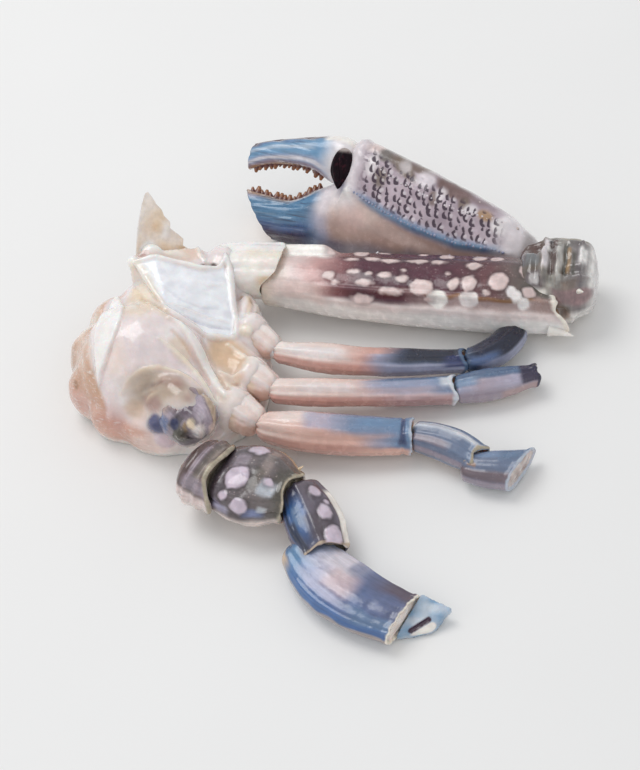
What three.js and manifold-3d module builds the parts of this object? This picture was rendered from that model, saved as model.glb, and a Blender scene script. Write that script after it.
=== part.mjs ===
// The right half of a raw blue swimming crab, cleaned for the pot: the carapace and gills are off, the thorax
// is split along its middle, and the claw tips, walking toes and swimming paddle are chopped away.
// Millimetres. +X runs outwards from the split, +Y towards the head, +Z is the back (dorsal) side.
// The half lies on its underside, with its claw folded back beside the arm.
import * as THREE from "three";
import { ConvexGeometry } from "three/addons/geometries/ConvexGeometry.js";
import { mergeVertices } from "three/addons/utils/BufferGeometryUtils.js";
import Module from "manifold-3d";

const wasm = await Module();
wasm.setup();

// ---- driving dimensions ----

const JOINT_GAP = 0.35; // free space between two shell pieces that meet
const ARC_STEPS = 5; // stretches that a limb piece's centre line is worked out in
const CAP_RINGS = 2; // rings that round off an end
const LUMP_SIDES = 14;
const SPINE_SIDES = 6;
const SPINE_ROOT = 1.5; // how deep a spine's foot reaches into the shell
const SPINE_SLIMNESS = 0.5; // radius of a spine's foot for each millimetre that it stands out
const SPINE_LEAN = 0.6; // how far a spine tips towards its piece's far end
const TOOTH_ROOT = 0.8; // how deep a claw tooth's foot reaches into the finger
const CLAW_SPINE = { root: 2, tall: 2.2, lean: 1, radius: 1.4 }; // the spines on the palm's upper edge
const CHOP_BLOCK = 400; // size of the block that a chop takes away
const CREST = { caps: [2, 2], steps: 4, sides: 8 };

const SHELL_WHITE = 0xe9e2da;
const LEG_PINK = 0xcdbcc3;
const LEG_STEEL = 0x55708f;
const LEG_NAVY = 0x2f415f;
const ARM_PURPLE = 0x6d4a58;
const WRIST_OLIVE = 0x7b7a68;
const PALM_LILAC = 0xa99aab;
const CLAW_BLUE = 0x4f8fc4;
const PADDLE_BLUE = 0x5b7ba6;
const SPOTTED_GREY = 0x79707a;
const HINGE_BLACK = 0x231b22;

/**
 * The limbs, joint after joint from the body outwards. Of each piece: its length, the heading of its centre
 * line (0 points outwards, 90 towards the head), how far it turns and dips on its way, in degrees; its start,
 * where that isn't on the last joint; its width and height at even steps along it; how long its rounded ends
 * are; and the heading that a chop faces, which takes off the last fifth of its length.
 * A spine stands at a share of the length, at an angle round the section (0 is the left side, 90 the top).
 */
const LIMBS = [
  {
    name: "arm",
    root: [-33, 32, 13],
    pieces: [
      {
        name: "ischium", length: 15, heading: 10, dip: 10, color: SHELL_WHITE,
        width: [15, 17, 17], height: [13, 14, 14], caps: [3, 2],
      },
      {
        name: "merus", length: 76, heading: -1, turn: 5, dip: 1.6, sides: 14, steps: 6, color: ARM_PURPLE,
        width: [14.5, 17.5, 19, 20, 21, 21, 19], height: [12, 14.5, 16, 16.5, 17, 17, 13],
        square: 2.5, caps: [2, 3],
        spines: [
          { share: 0.23, angle: 30, tall: 3 }, { share: 0.43, angle: 28, tall: 2.6 },
          { share: 0.6, angle: 26, tall: 3 }, { share: 0.96, angle: 205, tall: 6, lean: 3 },
        ],
      },
      {
        name: "carpus", start: [45.4, 36.4, 9.4], length: 20, heading: 2, sides: 14, steps: 4,
        width: [15, 19, 20, 16], height: [15, 18, 18, 15], square: 2.6, caps: [5, 5], color: WRIST_OLIVE,
        spines: [{ share: 0.72, angle: 60, tall: 3 }, { share: 0.8, angle: 150, tall: 3 }],
      },
    ],
  },
  {
    name: "leg1",
    root: [-21, 15, 10.5],
    sides: 10,
    pieces: [
      {
        name: "ischium", length: 11, heading: -31, dip: 8, steps: 3, color: SHELL_WHITE,
        width: [10, 9, 7.5], height: [10, 9, 7.5],
      },
      {
        name: "merus", length: 46.5, heading: 4.5, turn: 17, dip: 5.5, steps: 6, color: LEG_PINK,
        width: [6, 8.4, 8, 7.4, 6.4], height: [6, 8, 7.6, 7, 6],
      },
      {
        name: "carpus", length: 18, heading: 47, turn: 76, color: LEG_NAVY,
        width: [7, 9, 9.5, 8.5], height: [6.5, 7.5, 7.5, 6], caps: [3, 2],
      },
    ],
  },
  {
    name: "leg2",
    root: [-18, 1, 9.5],
    sides: 10,
    pieces: [
      {
        name: "ischium", length: 9, heading: -27, dip: 8, steps: 3, color: SHELL_WHITE,
        width: [10, 9.5, 8], height: [10, 9, 8],
      },
      {
        name: "merus", length: 44, heading: 8.5, turn: 8, dip: 5, steps: 6, color: LEG_PINK,
        width: [6.5, 8, 7.6, 7.8, 8.6], height: [6.5, 7.6, 7.2, 7.2, 7],
      },
      {
        name: "carpus", length: 20.5, heading: 17.5, turn: 6, color: LEG_NAVY,
        width: [8, 9, 8, 5], height: [6.5, 7.5, 6.5, 5],
      },
    ],
  },
  {
    name: "leg3",
    root: [-21, -8.5, 9],
    pieces: [
      {
        name: "ischium", length: 11, heading: -30, dip: 7, steps: 3, color: SHELL_WHITE,
        width: [10, 11, 9], height: [10, 9.5, 8.5],
      },
      {
        name: "merus", length: 37, heading: 2, turn: 9, dip: 4, steps: 6, color: LEG_PINK,
        width: [8.5, 11.6, 12, 11.5, 10.8], height: [8, 10, 10, 9.5, 8.5], caps: [3, 1.5],
      },
      {
        name: "carpus", length: 18, heading: -19, turn: -34, dip: 2, color: LEG_STEEL,
        width: [9, 10, 10, 9], height: [7, 8, 8, 7], caps: [2, 3],
      },
      {
        name: "propodus", start: [38.3, -20, 3.8], length: 17.5, heading: 3, turn: 24, chop: -24,
        width: [8, 10, 11.5, 12, 12], height: [6.5, 7.5, 8, 7, 6], color: LEG_STEEL,
      },
    ],
  },
  {
    name: "swim",
    root: [-32, -13.5, 14],
    pieces: [
      {
        name: "coxa", length: 12, heading: -38, dip: 14, steps: 3, color: SPOTTED_GREY,
        width: [13, 14, 12], height: [12, 13, 12],
      },
      {
        name: "ischium", start: [-26.5, -28, 9.5], length: 11, heading: -24, dip: 6, steps: 3,
        width: [16, 20, 19], height: [11, 13, 12], caps: [4, 3], color: SPOTTED_GREY,
      },
      {
        name: "merus", start: [-17, -30.5, 8.6], length: 18.5, heading: -15, dip: 4, color: SPOTTED_GREY,
        width: [19, 23, 22, 14], height: [9, 12, 12, 9], caps: [5, 4],
        spines: [{ share: 0.88, angle: 20, tall: 3.5, lean: 0.8 }],
      },
      {
        name: "carpus", start: [0.8, -32, 6.8], length: 20, heading: -60, turn: -12, dip: 4,
        width: [10, 14, 15, 12], height: [8, 9, 9, 7], caps: [4, 4], color: PADDLE_BLUE,
      },
      {
        name: "propodus", start: [3.2, -46, 4.2], length: 43, heading: -29, turn: 46, dip: 1, chop: -25,
        width: [11, 15, 17.5, 16.5, 14, 12], height: [6, 7, 7.5, 7, 6, 5], caps: [5, 2], steps: 7,
        color: PADDLE_BLUE,
      },
    ],
  },
];

/** What is left of the swimming paddle past its chopped root: a thin corner that bends down to the table. */
const PADDLE_STUB = [
  [32, -57.5, 5.6], [32, -57.5, 3.4], [41.5, -61, 3.6], [41.5, -61, 2.6],
  [37.5, -65.5, 1.2], [37.5, -65.5, -0.5], [30, -68, 2.2], [30, -68, 0.4],
];

/** The claw: places along it from the wrist, heights across the palm and thicknesses at even steps, in mm. */
const CLAW = {
  wrist: [47, 48.5, 5.5],
  heading: 170, // it points back towards the body
  lean: 45, // how far its flat side is tipped up from lying down
  square: 2.4,
  sides: 14,
  palm: {
    from: -3, to: 56, caps: [4, 5], steps: 6, thick: [9, 13, 15, 16, 15.5, 14.5, 12],
    top: [4, 9.3, 13.8, 17.5, 20.8, 23.6, 24.5], bottom: [-5, -6.5, -7.5, -7.5, -7.5, -7, -6],
  },
  lower: {
    from: 42, to: 84, caps: [4, 3], steps: 6, thick: [12, 12.5, 11.5, 10, 8.5, 6],
    top: [12, 13.5, 10, 5.4, 5.8, 6.8], bottom: [-6.5, -6.5, -6.3, -6.2, -5.6, -5],
  },
  upper: {
    from: 48, to: 84, caps: [4, 3], steps: 6, thick: [10, 11, 10.5, 9, 7.5, 6],
    top: [22, 24, 23, 21.6, 20, 17.6], bottom: [12, 11, 14, 14.6, 13.4, 10.5],
  },
  chops: { lower: { along: 80.5, up: 6.3, slant: 37 }, upper: { along: 80.5, up: 14, slant: -6 } },
  teeth: { count: 7, first: 61, last: 78.5, height: 1.5, radius: 1 },
  spines: [{ along: 47, up: 23 }, { along: 8, up: 10 }],
  hinge: { along: 53.5, up: 17, out: 4.6, size: [3.5, 6.4, 2.8] }, // dark skin at the upper finger's root
};

/** The split thorax, as lumps that run into each other, crests, and flat-sided plates of inner shell. */
const BODY = {
  lumps: [
    { at: [-43, 1, 7], size: [19, 17, 21] }, // dome over the swimming leg's muscles
    { at: [-41, 18, 7], size: [17, 14, 15] }, // chest
    { at: [-28, 9, 7], size: [13, 19, 8.5] }, // soft skin between the leg roots
    { at: [-33, -9, 10], size: [10.5, 8.5, 11], turn: -30 }, // mound over the swimming leg's root
    { at: [-40, -14, 5], size: [10, 6, 8], turn: -20 }, // rim below the mound
    { at: [-54, 14, 7], size: [9, 9, 12] }, // meat that swells out of the split
    { at: [-56, 5, 7], size: [9.5, 9, 11.5] },
    { at: [-54.5, -3.5, 6], size: [9.5, 8, 10] },
    { at: [-48, -10, 5], size: [9, 7, 9] },
    { at: [-30, 32, 11], size: [9, 9, 9] }, // limb roots
    { at: [-21, 14, 9], size: [6.5, 6, 7] },
    { at: [-18, 1, 8.5], size: [6.5, 5.5, 6.5] },
    { at: [-21, -9, 8], size: [7, 6, 6.5] },
  ],
  crests: [
    {
      path: [[-52, 24, 24], [-45, 25, 23.5], [-38, 25, 22], [-28, 25.5, 17]],
      width: [5, 4.5, 4, 3], height: [4, 4, 4, 3],
    },
    {
      path: [[-38, 11, 25], [-31, 4, 21], [-25, -3, 14], [-23, -8, 10]],
      width: [3, 5, 5, 4], height: [3, 4, 4, 4],
    },
  ],
  slabs: [
    // white plate
    [[-44, 18, 24], [-26, 26, 17], [-21.5, 11, 11.5], [-29, 5, 16], [-41, 8, 24.5], [-35, 15, 8]],
    // torn flap
    [[-51, 27, 20], [-37, 35, 16], [-49, 41, 33], [-50, 29.5, 18], [-38, 37, 15]],
    // front wall
    [
      [-51, 18, 8], [-51, 24, 24], [-50, 28.5, 23], [-37, 35, 19], [-29, 36, 14], [-28, 25, 17.5],
      [-34, 14, 10], [-33, 37, 3], [-50, 28, 3],
    ],
  ],
  underside: {
    outline: [
      [-62, 16], [-56, 27], [-34, 36], [-24, 29], [-14, 8], [-14, -8], [-24, -18], [-36, -18], [-58, -6],
    ],
    depth: 5,
  },
};

// ---- vectors and solids ----

const { degToRad, clamp } = THREE.MathUtils;
const vec = ([x, y, z]) => new THREE.Vector3(x, y, z);

/** A closed three.js geometry as a manifold solid. */
function solidOf(geometry) {
  const bare = geometry.clone();
  bare.deleteAttribute("normal");
  bare.deleteAttribute("uv");
  const merged = mergeVertices(bare, 1e-4);
  return new wasm.Manifold(
    new wasm.Mesh({
      numProp: 3,
      vertProperties: merged.getAttribute("position").array,
      triVerts: new Uint32Array(merged.index.array),
    }),
  );
}

/** A manifold solid as a three.js geometry with flat facets. */
function geometryOf(solid) {
  const { vertProperties, triVerts } = solid.getMesh();
  const indexed = new THREE.BufferGeometry();
  indexed.setAttribute("position", new THREE.BufferAttribute(vertProperties, 3));
  indexed.setIndex(new THREE.BufferAttribute(triVerts, 1));
  const facets = indexed.toNonIndexed();
  facets.computeVertexNormals();
  return facets;
}

const joined = (solids) => solids.reduce((sum, solid) => sum.add(solid));

/** What is left of a solid once others are taken away, without loose crumbs. */
function cutBy(solid, others) {
  const rest = others.reduce((left, other) => left.subtract(other), solid);
  return rest.decompose().sort((a, b) => b.volume() - a.volume())[0];
}

/** A smooth value between evenly spaced knots; share runs from 0 to 1. */
function between(knots, share) {
  const last = knots.length - 1;
  const place = Math.min(share * last, last - 1e-9);
  const i = Math.floor(place);
  const f = place - i;
  const [a, b] = [knots[i], knots[i + 1]];
  const slopeA = (b - knots[Math.max(i - 1, 0)]) / 2;
  const slopeB = (knots[Math.min(i + 2, last)] - a) / 2;
  const curve = 2 * (a - b) + slopeA + slopeB;
  return ((curve * f - (curve + a - b + slopeA)) * f + slopeA) * f + a;
}

/** The level direction with a heading in degrees. */
const polar = (heading) => new THREE.Vector3(Math.cos(degToRad(heading)), Math.sin(degToRad(heading)), 0);

/** Signed power, which turns a circle into a superellipse. */
const squared = (value, square) => Math.sign(value) * Math.abs(value) ** (2 / square);

// ---- the shapes that the half is made of ----

/** The centre line of each piece of a limb, joint after joint from its root. */
function centreLines({ root, pieces }) {
  const joint = vec(root);
  return pieces.map(({ start, length, heading, turn = 0, dip = 0 }) => {
    if (start) joint.copy(vec(start));
    const path = [joint.clone()];
    const down = degToRad(dip);
    for (let k = 0; k < ARC_STEPS; k++) {
      const ahead = polar(heading + turn * ((k + 0.5) / ARC_STEPS - 0.5)).multiplyScalar(Math.cos(down));
      path.push(joint.addScaledVector(ahead.setZ(-Math.sin(down)), length / ARC_STEPS).clone());
    }
    return path;
  });
}

/** Where a tube's rings stand along it, and how far each is drawn in to round off an end. */
function stationsOf(length, [head, tail], steps) {
  const rounded = (k) => (k / (CAP_RINGS + 1)) * (Math.PI / 2);
  const stations = [];
  for (let k = 1; head > 0 && k <= CAP_RINGS; k++) {
    stations.push({ at: head * (1 - Math.cos(rounded(k))), scale: Math.sin(rounded(k)) });
  }
  for (let k = 0; k <= steps; k++) {
    stations.push({ at: head + ((length - head - tail) * k) / steps, scale: 1 });
  }
  for (let k = CAP_RINGS; tail > 0 && k >= 1; k--) {
    stations.push({ at: length - tail * (1 - Math.cos(rounded(k))), scale: Math.sin(rounded(k)) });
  }
  return stations;
}

/** The closed surface over a row of rings with a point at each end. */
function skin(rings, start, end) {
  const sides = rings[0].length;
  const points = [start, ...rings.flat(), end];
  const faces = [];
  const at = (ring, k) => 1 + ring * sides + (k % sides);
  for (let k = 0; k < sides; k++) {
    faces.push(0, at(0, k + 1), at(0, k));
    faces.push(points.length - 1, at(rings.length - 1, k), at(rings.length - 1, k + 1));
    for (let ring = 0; ring < rings.length - 1; ring++) {
      faces.push(at(ring, k), at(ring, k + 1), at(ring + 1, k));
      faces.push(at(ring, k + 1), at(ring + 1, k + 1), at(ring + 1, k));
    }
  }
  return new THREE.BufferGeometry().setFromPoints(points).setIndex(faces);
}

/** Where a tube's centre line is at a share of its length, which ways its section lies there, and its size. */
function sectionAt(line, { width, height }, share) {
  const ahead = line.getTangentAt(share);
  const side = new THREE.Vector3(0, 0, 1).cross(ahead).normalize();
  const top = ahead.clone().cross(side);
  const [a, b] = [between(width, share) / 2, between(height, share) / 2];
  return { centre: line.getPointAt(share), ahead, side, top, a, b };
}

/** A point of a section at an angle round it, 0 on its left side and 90 degrees on top. */
function onSection({ centre, side, top, a, b }, angle, square) {
  const across = squared(Math.cos(angle), square) * a;
  const up = squared(Math.sin(angle), square) * b;
  return centre.clone().addScaledVector(side, across).addScaledVector(top, up);
}

/**
 * A shell piece round a centre line. width and height are its section's size at even steps, square is 2 for an
 * oval section and more for a boxier one, grow makes it thicker all over.
 */
function shellTube(path, piece, grow = 0) {
  const { square = 2.2, caps = [3, 3], steps = 5, sides, spines = [] } = piece;
  const line = new THREE.CatmullRomCurve3(path);
  const length = line.getLength();
  const rings = stationsOf(length, caps, steps).map(({ at, scale }) => {
    const section = sectionAt(line, piece, clamp(at / length, 0, 1));
    section.a = section.a * scale + grow;
    section.b = section.b * scale + grow;
    return Array.from({ length: sides }, (_, k) => onSection(section, (k / sides) * 2 * Math.PI, square));
  });
  const start = line.getPointAt(0).addScaledVector(line.getTangentAt(0), -grow);
  const end = line.getPointAt(1).addScaledVector(line.getTangentAt(1), grow);
  return joined([solidOf(skin(rings, start, end)), ...spines.map((thorn) => tubeSpine(line, piece, thorn))]);
}

/** A spine on a shell piece; lean tips it towards the piece's far end. */
function tubeSpine(line, piece, { share, angle, tall, lean = SPINE_LEAN }) {
  const section = sectionAt(line, piece, share);
  const foot = onSection(section, degToRad(angle), 2);
  const outwards = foot.clone().sub(section.centre).normalize();
  outwards.addScaledVector(section.ahead, lean).normalize();
  const tip = foot.clone().addScaledVector(outwards, tall);
  return spine(foot.addScaledVector(outwards, -SPINE_ROOT), tip, tall * SPINE_SLIMNESS);
}

/** An ellipsoid, turned about Z by an angle in degrees. */
function lump([x, y, z], [rx, ry, rz], turn = 0) {
  const geometry = new THREE.SphereGeometry(1, LUMP_SIDES, LUMP_SIDES / 2);
  geometry.rotateX(Math.PI / 2).scale(rx, ry, rz).rotateZ(degToRad(turn)).translate(x, y, z);
  return solidOf(geometry);
}

/** The flat-sided hull of a few corners. */
const hull = (corners) => solidOf(new ConvexGeometry(corners.map(vec)));

/** A block that takes away all that lies more than a clearance beyond a chop through a point. */
function chopAt(point, facing, clearance = 0) {
  const geometry = new THREE.BoxGeometry(CHOP_BLOCK, CHOP_BLOCK, CHOP_BLOCK).translate(0, 0, CHOP_BLOCK / 2);
  const away = facing.clone().normalize();
  const turned = new THREE.Quaternion().setFromUnitVectors(new THREE.Vector3(0, 0, 1), away);
  const { x, y, z } = point.clone().addScaledVector(away, clearance);
  return solidOf(geometry.applyQuaternion(turned).translate(x, y, z));
}

/** A pointed spine or tooth from a root to its tip. */
function spine(root, tip, radius) {
  const axis = tip.clone().sub(root);
  const geometry = new THREE.ConeGeometry(radius, axis.length(), SPINE_SIDES);
  geometry.translate(0, axis.length() / 2, 0);
  const turned = new THREE.Quaternion().setFromUnitVectors(new THREE.Vector3(0, 1, 0), axis.normalize());
  geometry.applyQuaternion(turned).translate(root.x, root.y, root.z);
  return solidOf(geometry);
}

// ---- the claw ----

/** A place on the claw: how far from the wrist, how far up across the palm, how far out from its flat side. */
function onClaw(along, up, out) {
  const heading = degToRad(CLAW.heading);
  const lean = degToRad(CLAW.lean);
  const forward = new THREE.Vector3(Math.cos(heading), Math.sin(heading), 0);
  const aside = new THREE.Vector3(Math.sin(heading), -Math.cos(heading), 0);
  const flatUp = aside.clone().multiplyScalar(Math.cos(lean)).setZ(Math.sin(lean));
  const flatOut = aside.clone().multiplyScalar(-Math.sin(lean)).setZ(Math.cos(lean));
  const place = vec(CLAW.wrist).addScaledVector(forward, along);
  return place.addScaledVector(flatUp, up).addScaledVector(flatOut, out);
}

/** A blade of the claw between its upper and lower edges. */
function clawBlade({ from, to, top, bottom, thick, caps, steps }, grow = 0) {
  const length = to - from;
  const rings = stationsOf(length, caps, steps).map(({ at, scale }) => {
    const share = clamp(at / length, 0, 1);
    const middle = (between(top, share) + between(bottom, share)) / 2;
    const tall = ((between(top, share) - between(bottom, share)) / 2) * scale + grow;
    const deep = (between(thick, share) / 2) * scale + grow;
    return Array.from({ length: CLAW.sides }, (_, k) => {
      const angle = (k / CLAW.sides) * 2 * Math.PI;
      const up = middle + squared(Math.sin(angle), CLAW.square) * tall;
      return onClaw(from + at, up, squared(Math.cos(angle), CLAW.square) * deep);
    });
  });
  const middleAt = (share) => (between(top, share) + between(bottom, share)) / 2;
  return solidOf(skin(rings, onClaw(from - grow, middleAt(0), 0), onClaw(to + grow, middleAt(1), 0)));
}

/** A row of low teeth along the edge of a finger; way is 1 where they point up the palm and -1 where down. */
function clawTeeth({ from, to, top, bottom }, way) {
  const { count, first, last, height, radius } = CLAW.teeth;
  return Array.from({ length: count }, (_, k) => {
    const along = first + ((last - first) * k) / (count - 1);
    const edge = between(way > 0 ? top : bottom, (along - from) / (to - from));
    const tall = height * (0.75 + 0.25 * Math.cos(k * 2.4));
    return spine(onClaw(along, edge - way * TOOTH_ROOT, 0), onClaw(along, edge + way * tall, 0), radius);
  });
}

/** The chop through a finger: up the palm its plane leans away from the wrist by the slant. */
function fingerChop({ along, up, slant }) {
  const point = onClaw(along, up, 0);
  const facing = onClaw(along + Math.cos(degToRad(slant)), up - Math.sin(degToRad(slant)), 0).sub(point);
  return chopAt(point, facing);
}

/** The dark skin between palm and upper finger, as an oval pad. */
function clawHinge(grow = 0) {
  const { along, up, out, size } = CLAW.hinge;
  const geometry = new THREE.SphereGeometry(1, 12, 8);
  const place = geometry.getAttribute("position");
  for (let i = 0; i < place.count; i++) {
    const [x, y, z] = [place.getX(i), place.getY(i), place.getZ(i)];
    const spot = onClaw(along - x * (size[0] + grow), up + y * (size[1] + grow), out + z * (size[2] + grow));
    place.setXYZ(i, spot.x, spot.y, spot.z);
  }
  return solidOf(geometry);
}

/** A spine on the palm's upper edge. */
function clawSpine({ along, up }) {
  const { root, tall, lean, radius } = CLAW_SPINE;
  return spine(onClaw(along, up - root, 0), onClaw(along - lean, up + tall, 0), radius);
}

/** The claw's three solids: the palm with its fixed finger, the finger that moves, and the dark skin there. */
function claw() {
  const { palm, lower, upper, spines, chops } = CLAW;
  const hand = joined([clawBlade(palm), clawBlade(lower), ...clawTeeth(lower, 1), ...spines.map(clawSpine)]);
  const finger = joined([clawBlade(upper), ...clawTeeth(upper, -1)]);
  const room = clawHinge(JOINT_GAP);
  return {
    hand: cutBy(hand, [clawBlade(upper, JOINT_GAP), fingerChop(chops.lower), room]),
    finger: cutBy(finger, [fingerChop(chops.upper), room]),
    hinge: clawHinge(),
  };
}

// ---- the body ----

/** The underside's plates, as one flat slab. */
function underside({ outline, depth }) {
  const shape = new THREE.Shape(outline.map(([x, y]) => new THREE.Vector2(x, y)));
  return solidOf(new THREE.ExtrudeGeometry(shape, { depth, bevelEnabled: false }));
}

/** The split thorax in one solid, before room is made for the limbs. */
function thorax() {
  const lumps = BODY.lumps.map(({ at, size, turn }) => lump(at, size, turn));
  const crests = BODY.crests.map((crest) => shellTube(crest.path.map(vec), { ...crest, ...CREST }));
  return joined([...lumps, ...crests, ...BODY.slabs.map(hull), underside(BODY.underside)]);
}

// ---- the whole half ----

/** The pieces of a limb. Each has a socket for the next one, and the first has room made for it in the body. */
function limbPieces({ name, root, sides = 12, pieces }) {
  const lines = centreLines({ root, pieces });
  const tubes = pieces.map((piece) => ({ sides, ...piece }));
  return tubes.map((piece, i) => {
    const next = tubes[i + 1];
    const socket = next ? [shellTube(lines[i + 1], next, JOINT_GAP)] : [];
    const chops = (gap) => (piece.chop === undefined ? [] : [chopAt(lines[i].at(-2), polar(piece.chop), gap)]);
    return {
      name: `${name}_${piece.name}`,
      solid: cutBy(shellTube(lines[i], piece), [...socket, ...chops(0)]),
      room: cutBy(shellTube(lines[i], piece, JOINT_GAP), chops(JOINT_GAP)),
      color: piece.color,
    };
  });
}

const parts = LIMBS.flatMap(limbPieces);
const named = (name) => parts.find((part) => part.name === name);

// The first leg's wrist reaches under the arm, and the claw turns back beside it.
named("leg1_carpus").solid = cutBy(named("leg1_carpus").solid, [named("arm_merus").room]);
const stub = cutBy(hull(PADDLE_STUB), [named("swim_propodus").room]);
parts.push({ name: "swim_paddle_stub", solid: stub, color: CLAW_BLUE });
const { hand, finger, hinge } = claw();
const palmRest = cutBy(hand, [named("arm_carpus").room, named("arm_merus").room]);
parts.push({ name: "claw_hand", solid: palmRest, color: PALM_LILAC });
parts.push({ name: "claw_finger", solid: finger, color: CLAW_BLUE });
parts.push({ name: "claw_hinge", solid: hinge, color: HINGE_BLACK });
const rooms = parts.filter(({ room }) => room).map(({ room }) => room);
parts.push({ name: "body", solid: cutBy(thorax(), rooms), color: SHELL_WHITE });

const table = chopAt(new THREE.Vector3(), new THREE.Vector3(0, 0, -1));
const group = new THREE.Group();
for (const { name, solid, color } of parts) {
  const material = new THREE.MeshStandardMaterial({ color, roughness: 0.35, metalness: 0 });
  const mesh = new THREE.Mesh(geometryOf(cutBy(solid, [table])), material);
  mesh.name = name;
  group.add(mesh);
}

// The origin is under the middle of the half, on the plane that it rests on.
const box = new THREE.Box3().setFromObject(group);
const middle = box.getCenter(new THREE.Vector3()).setZ(box.min.z);
for (const mesh of group.children) mesh.position.sub(middle);

export default group;
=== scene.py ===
"""Raw half of a blue swimming crab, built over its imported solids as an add-on with one operator for each part."""
import itertools
import math

import bpy
import numpy as np
from bpy.props import FloatProperty, FloatVectorProperty, IntProperty, PointerProperty
from mathutils import Matrix, Vector


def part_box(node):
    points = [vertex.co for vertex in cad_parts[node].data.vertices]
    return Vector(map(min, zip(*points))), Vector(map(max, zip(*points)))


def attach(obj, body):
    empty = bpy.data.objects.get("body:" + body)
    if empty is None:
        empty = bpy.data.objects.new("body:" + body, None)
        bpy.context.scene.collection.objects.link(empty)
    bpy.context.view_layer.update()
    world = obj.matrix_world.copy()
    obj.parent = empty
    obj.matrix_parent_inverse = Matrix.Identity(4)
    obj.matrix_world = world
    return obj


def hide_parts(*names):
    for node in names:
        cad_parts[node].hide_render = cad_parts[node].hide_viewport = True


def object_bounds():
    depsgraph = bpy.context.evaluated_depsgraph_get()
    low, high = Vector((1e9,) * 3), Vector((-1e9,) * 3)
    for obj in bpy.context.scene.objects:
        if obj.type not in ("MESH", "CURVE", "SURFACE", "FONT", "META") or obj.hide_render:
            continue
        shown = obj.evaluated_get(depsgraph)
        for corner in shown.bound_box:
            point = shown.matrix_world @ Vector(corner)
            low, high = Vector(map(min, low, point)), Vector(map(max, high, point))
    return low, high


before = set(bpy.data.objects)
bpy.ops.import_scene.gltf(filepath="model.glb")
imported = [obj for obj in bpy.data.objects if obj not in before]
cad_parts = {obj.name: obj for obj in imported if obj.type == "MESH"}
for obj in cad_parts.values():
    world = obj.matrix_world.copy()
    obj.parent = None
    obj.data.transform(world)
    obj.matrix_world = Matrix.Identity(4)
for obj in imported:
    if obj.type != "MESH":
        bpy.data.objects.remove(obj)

bl_info = {
    "name": "Blue crab half",
    "version": (1, 0, 0),
    "blender": (4, 5, 0),
    "location": "View3D > Sidebar > Crab",
    "description": "Shell pieces, claw, split thorax and stage of a cleaned raw swimming crab half",
    "category": "Object",
}

MM = 0.001
CAD_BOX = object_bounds()
DEGREES = 180 / math.pi

# ---- numbers and small shape helpers (millimetres, as the solids were planned) ----


def smooth(low, high, value):
    """0 below low, 1 above high and a smooth step between; low may be the larger."""
    t = np.clip((value - low) / (high - low), 0, 1)
    return t * t * (3 - 2 * t)


def hump(value, middle, half):
    """1 at the middle, falling smoothly to 0 at half away on either side."""
    return 1 - smooth(0, half, np.abs(value - middle))


def between(knots, share):
    """A smooth value between evenly spaced knots; share runs from 0 to 1."""
    knots = np.asarray(knots, float)
    last = len(knots) - 1
    place = np.clip(share, 0, 1) * last
    i = np.minimum(place.astype(int), last - 1)
    f = place - i
    a, b = knots[i], knots[i + 1]
    slope_a = (b - knots[np.maximum(i - 1, 0)]) / 2
    slope_b = (knots[np.minimum(i + 2, last)] - a) / 2
    curve = 2 * (a - b) + slope_a + slope_b
    return ((curve * f - (curve + a - b + slope_a)) * f + slope_a) * f + a


def squared(value, square):
    """Signed power, which turns a circle into a superellipse."""
    return np.sign(value) * np.abs(value) ** (2 / square)


def unit(vectors):
    """Vectors at length one."""
    return vectors / np.maximum(np.linalg.norm(vectors, axis=-1, keepdims=True), 1e-9)


def speckle(points, size, seed=0):
    """Smooth random values from -1 to 1 that change over about one size, in millimetres."""
    place = np.asarray(points, float) / size + 1000
    low = np.floor(place).astype(np.int64)
    f = place - low
    f = f * f * (3 - 2 * f)
    total = 0
    for corner in range(8):
        step = np.array([corner & 1, corner >> 1 & 1, corner >> 2 & 1])
        x, y, z = np.moveaxis(low + step, -1, 0)
        mixed = (x * 73856093 ^ y * 19349663 ^ z * 83492791 ^ (seed + 7) * 2654435761) & 0xFFFFFFFF
        mixed = ((mixed ^ mixed >> 15) * 2246822519) & 0xFFFFFFFF
        mixed = ((mixed ^ mixed >> 13) * 3266489917) & 0xFFFFFFFF
        value = (mixed ^ mixed >> 16) / 0x7FFFFFFF - 1
        total = total + value * np.prod(np.where(step == 1, f, 1 - f), axis=-1)
    return total


def rough(points, size, octaves=3, seed=0):
    """Speckle in several sizes, each half as large and half as strong as the one before."""
    return sum(speckle(points, size / 2**k, seed + 13 * k) / 2**k for k in range(octaves)) / 1.6


def warped(points, size, amount, seed=0):
    """Points pushed about by up to an amount, so that what is measured from them gets a natural edge."""
    push = np.stack([rough(points, size, 2, seed + 31 * k) for k in range(3)], axis=-1)
    return points + push * amount


def linear(code):
    """A colour's linear red, green and blue from its hex code."""
    values = np.array([int(code[i : i + 2], 16) for i in (0, 2, 4)]) / 255
    return np.where(values > 0.04045, ((values + 0.055) / 1.055) ** 2.4, values / 12.92)


def lay(colours, over, mask):
    """Colours with another colour laid over them as strongly as a mask says."""
    mask = np.clip(mask, 0, 1)[..., None]
    return colours * (1 - mask) + np.asarray(over) * mask


def ramp(share, *stops):
    """A colour between stops, each a place and a colour."""
    places = [place for place, _ in stops]
    colours = np.array([colour for _, colour in stops])
    return np.stack([np.interp(share, places, colours[:, k]) for k in range(3)], axis=-1)


def turned(x, y, turn):
    """Places along and across axes that are turned by degrees."""
    c, s = math.cos(turn / DEGREES), math.sin(turn / DEGREES)
    return c * x + s * y, c * y - s * x


def about(degrees, middle=0.0):
    """Degrees within half a turn of a middle."""
    return (degrees - middle + 180) % 360 - 180 + middle


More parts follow.
